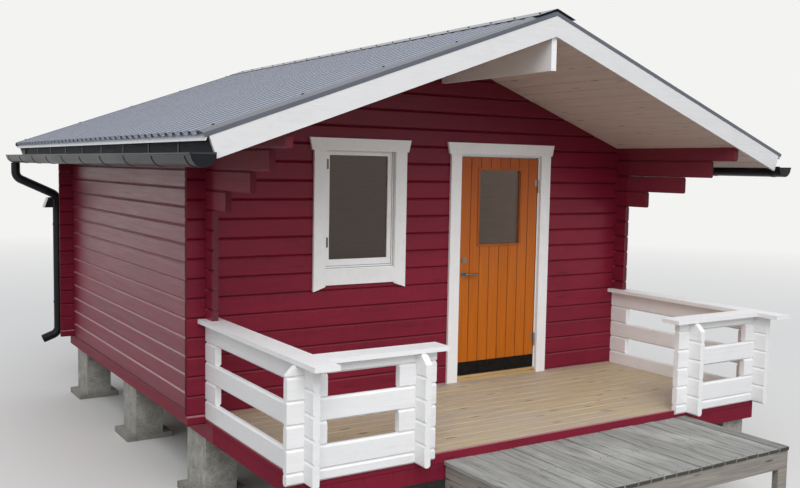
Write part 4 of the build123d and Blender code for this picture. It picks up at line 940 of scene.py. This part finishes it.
class COTTAGE_OT_fit_window(bpy.types.Operator):
    """Glaze the window and fit its hinges"""

    bl_idname = "cottage.fit_window"
    bl_label = "Fit window"

    def execute(self, context):
        paint("window_glass", window_pane("float_glass_window"))
        mesh = bmesh.new()
        sash_low, sash_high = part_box("window_sash")
        radius = HINGE_KNUCKLE
        for level in (sash_low.z + HINGE_FROM_END, sash_high.z - HINGE_FROM_END):
            foot = Vector((sash_low.x + HINGE_INSET, sash_low.y - radius - 0.001, level))
            add_block(mesh, foot + Vector((0, radius - HINGE_SHEET, 0)),
                      foot + Vector((HINGE_LEAF, radius, HINGE_HEIGHT)), 0.0006)
            add_disc(mesh, foot, Matrix.Identity(3), radius, HINGE_HEIGHT, 14)
            for end in (foot - Vector((0, 0, HINGE_TIP)), foot + Vector((0, 0, HINGE_HEIGHT))):
                add_disc(mesh, end, Matrix.Identity(3), radius * 0.6, HINGE_TIP, 14)
        # A black rubber seal round the sash, placed where the gap lies in shade, so that it is also
        # painted shade
        seal_and_shade = bmesh.new()
        add_ring(seal_and_shade, Vector((sash_low.x + SEAL_SHADE_INSET, sash_low.y - 0.0008,
                               sash_low.z + SEAL_SHADE_INSET)),
                 Vector((sash_high.x - SEAL_SHADE_INSET, sash_low.y + 0.001,
                         sash_high.z - SEAL_SHADE_INSET)), SEAL_SHADE_WIDTH)
        finish_piece("window_seal_and_gap_shade", seal_and_shade, dark_metal("black_seal_and_gap_shade", "#2B2928", 0.6),
                     "cottage")
        finish_piece("window_hinges", mesh, brushed_metal("dulled_zinc_pin", "#6B6A66", 0.4),
                     "cottage")
        return {"FINISHED"}


class COTTAGE_OT_cast_blocks(bpy.types.Operator):
    """Finish the concrete blocks and slabs"""

    bl_idname = "cottage.cast_blocks"
    bl_label = "Cast blocks"

    def execute(self, context):
        paint("pier_blocks", cast_concrete("pressed_concrete_block", "#BDBAB1", "#88857C"))
        paint("footing_slabs", cast_concrete("cast_concrete_slab", "#B4B1A8", "#848178"))
        return {"FINISHED"}


class COTTAGE_OT_build_stage(bpy.types.Operator):
    """Set the floor, the lamps, the world and the camera"""

    bl_idname = "cottage.build_stage"
    bl_label = "Build stage"

    def execute(self, context):
        scene = context.scene
        self.build_floor()
        self.build_world(scene)
        self.hang_lamps(scene)
        data = bpy.data.cameras.new("photo_camera")
        data.lens = CAMERA_LENS
        data.sensor_width = CAMERA_SENSOR
        data.clip_end = 300.0
        camera = bpy.data.objects.new("photo_camera", data)
        right = CAMERA_FORWARD.cross(CAMERA_UP).normalized()
        up = right.cross(CAMERA_FORWARD).normalized()
        turn = Matrix((right, up, -CAMERA_FORWARD)).transposed().to_4x4()
        camera.matrix_world = Matrix.Translation(CAMERA_PLACE) @ turn
        scene.collection.objects.link(camera)
        scene.camera = camera
        scene.view_settings.view_transform = "Standard"
        return {"FINISHED"}

    def build_floor(self):
        """A pale level floor that keeps shadows and sends little light back up."""
        mesh = bmesh.new()
        bmesh.ops.create_circle(mesh, cap_ends=True, segments=96, radius=FLOOR_RADIUS)
        data = bpy.data.meshes.new("studio_floor")
        mesh.to_mesh(data)
        mesh.free()
        floor = bpy.data.objects.new("studio_floor", data)
        bpy.context.scene.collection.objects.link(floor)
        # Matt plaster: pale where it is looked at, duller for the light that it sends back up,
        # and it fades into the backdrop with distance, so that no horizon shows
        material, tree, shader = new_material("pale_studio_floor")
        seen = seen_directly(tree)
        place = add_node(tree, "TexCoord", output="Object")
        away = add_node(tree, "VectorMath", (place,), operation="LENGTH")
        faded = add_node(tree, "MapRange", (away, *FLOOR_FADE))
        far = add_node(tree, "Math", (seen, faded), operation="MULTIPLY")
        near = overlaid(tree, linear(FLOOR_BOUNCE), linear(FLOOR_SEEN), seen)
        finish_surface(tree, shader, overlaid(tree, near, linear("#000000"), far), 0.9, 0.0)
        fill_inputs(tree, shader, {"Emission Color": linear(BACKDROP), "Emission Strength": far})
        data.materials.append(material)

    def build_world(self, scene):
        """An overcast sky, brightest in front, and plain white where it is seen directly."""
        world = bpy.data.worlds.new("overcast")
        world.use_nodes = True
        tree = world.node_tree
        tree.nodes.clear()
        way = add_node(tree, "TexCoord", output="Generated")
        depth = add_node(tree, "SeparateXYZ", (way,), "Y")
        seen = seen_directly(tree)
        colour = overlaid(tree, linear(SKY_COLOUR), linear(BACKDROP), seen)
        lit = add_node(tree, "MapRange", (depth, *SKY_TURN, SKY_FRONT, SKY_BACK))
        unseen = add_node(tree, "Math", (1.0, seen), operation="SUBTRACT")
        power = add_node(tree, "Math", (lit, unseen, seen), operation="MULTIPLY_ADD")
        add_node(tree, "OutputWorld", (add_node(tree, "Background", (colour, power)),))
        scene.world = world

    def hang_lamps(self, scene):
        """One large soft lamp from the front left, as the brighter part of the sky."""
        data = bpy.data.lights.new("key_lamp", "AREA")
        data.shape = "SQUARE"
        data.size = KEY_SIZE
        data.energy = KEY_WATTS
        lamp = bpy.data.objects.new("key_lamp", data)
        turn = (KEY_TARGET - KEY_PLACE).to_track_quat("-Z", "Y").to_matrix().to_4x4()
        lamp.matrix_world = Matrix.Translation(KEY_PLACE) @ turn
        scene.collection.objects.link(lamp)


def seen_directly(tree):
    """1 for what the camera sees, also in a mirror or through glass, and 0 for light on things."""
    path = add_node(tree, "LightPath").node
    seen = path.outputs["Is Camera Ray"]
    for ray in ("Is Glossy Ray", "Is Transmission Ray"):
        seen = add_node(tree, "Math", (seen, path.outputs[ray]), operation="MAXIMUM")
    return seen


OPERATORS = (
    COTTAGE_OT_paint_walls, COTTAGE_OT_paint_rails, COTTAGE_OT_lay_deck,
    COTTAGE_OT_lay_landing, COTTAGE_OT_board_ceiling, COTTAGE_OT_lay_floor,
    COTTAGE_OT_roof_metal, COTTAGE_OT_fit_door, COTTAGE_OT_fit_window,
    COTTAGE_OT_cast_blocks, COTTAGE_OT_build_stage,
)


class COTTAGE_PT_dresser(bpy.types.Panel):
    """The dresser's steps, in order, and its sizes and colours"""

    bl_label = "Cottage"
    bl_idname = "COTTAGE_PT_dresser"
    bl_space_type = "VIEW_3D"
    bl_region_type = "UI"
    bl_category = "Cottage"

    def draw(self, context):
        layout = self.layout
        for operator in OPERATORS:
            layout.operator(operator.bl_idname)
        for group in (sizes(), colours()):
            box = layout.box()
            for name in group.bl_rna.properties.keys():
                if name not in ("rna_type", "name"):
                    box.prop(group, name)


CLASSES = (CottageColours, CottageSizes, *OPERATORS, COTTAGE_PT_dresser)


def register():
    """Register the classes and give the scene its sizes and colours."""
    for made in CLASSES:
        bpy.utils.register_class(made)
    bpy.types.Scene.cottage_sizes = bpy.props.PointerProperty(type=CottageSizes)
    bpy.types.Scene.cottage_colours = bpy.props.PointerProperty(type=CottageColours)


def unregister():
    """Take back what register gave."""
    del bpy.types.Scene.cottage_colours
    del bpy.types.Scene.cottage_sizes
    for made in reversed(CLASSES):
        bpy.utils.unregister_class(made)


def main():
    """Register the classes and run the steps in order."""
    register()
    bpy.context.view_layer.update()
    for operator in OPERATORS:
        group, name = operator.bl_idname.split(".")
        getattr(getattr(bpy.ops, group), name)()


if __name__ == "__main__":
    main()
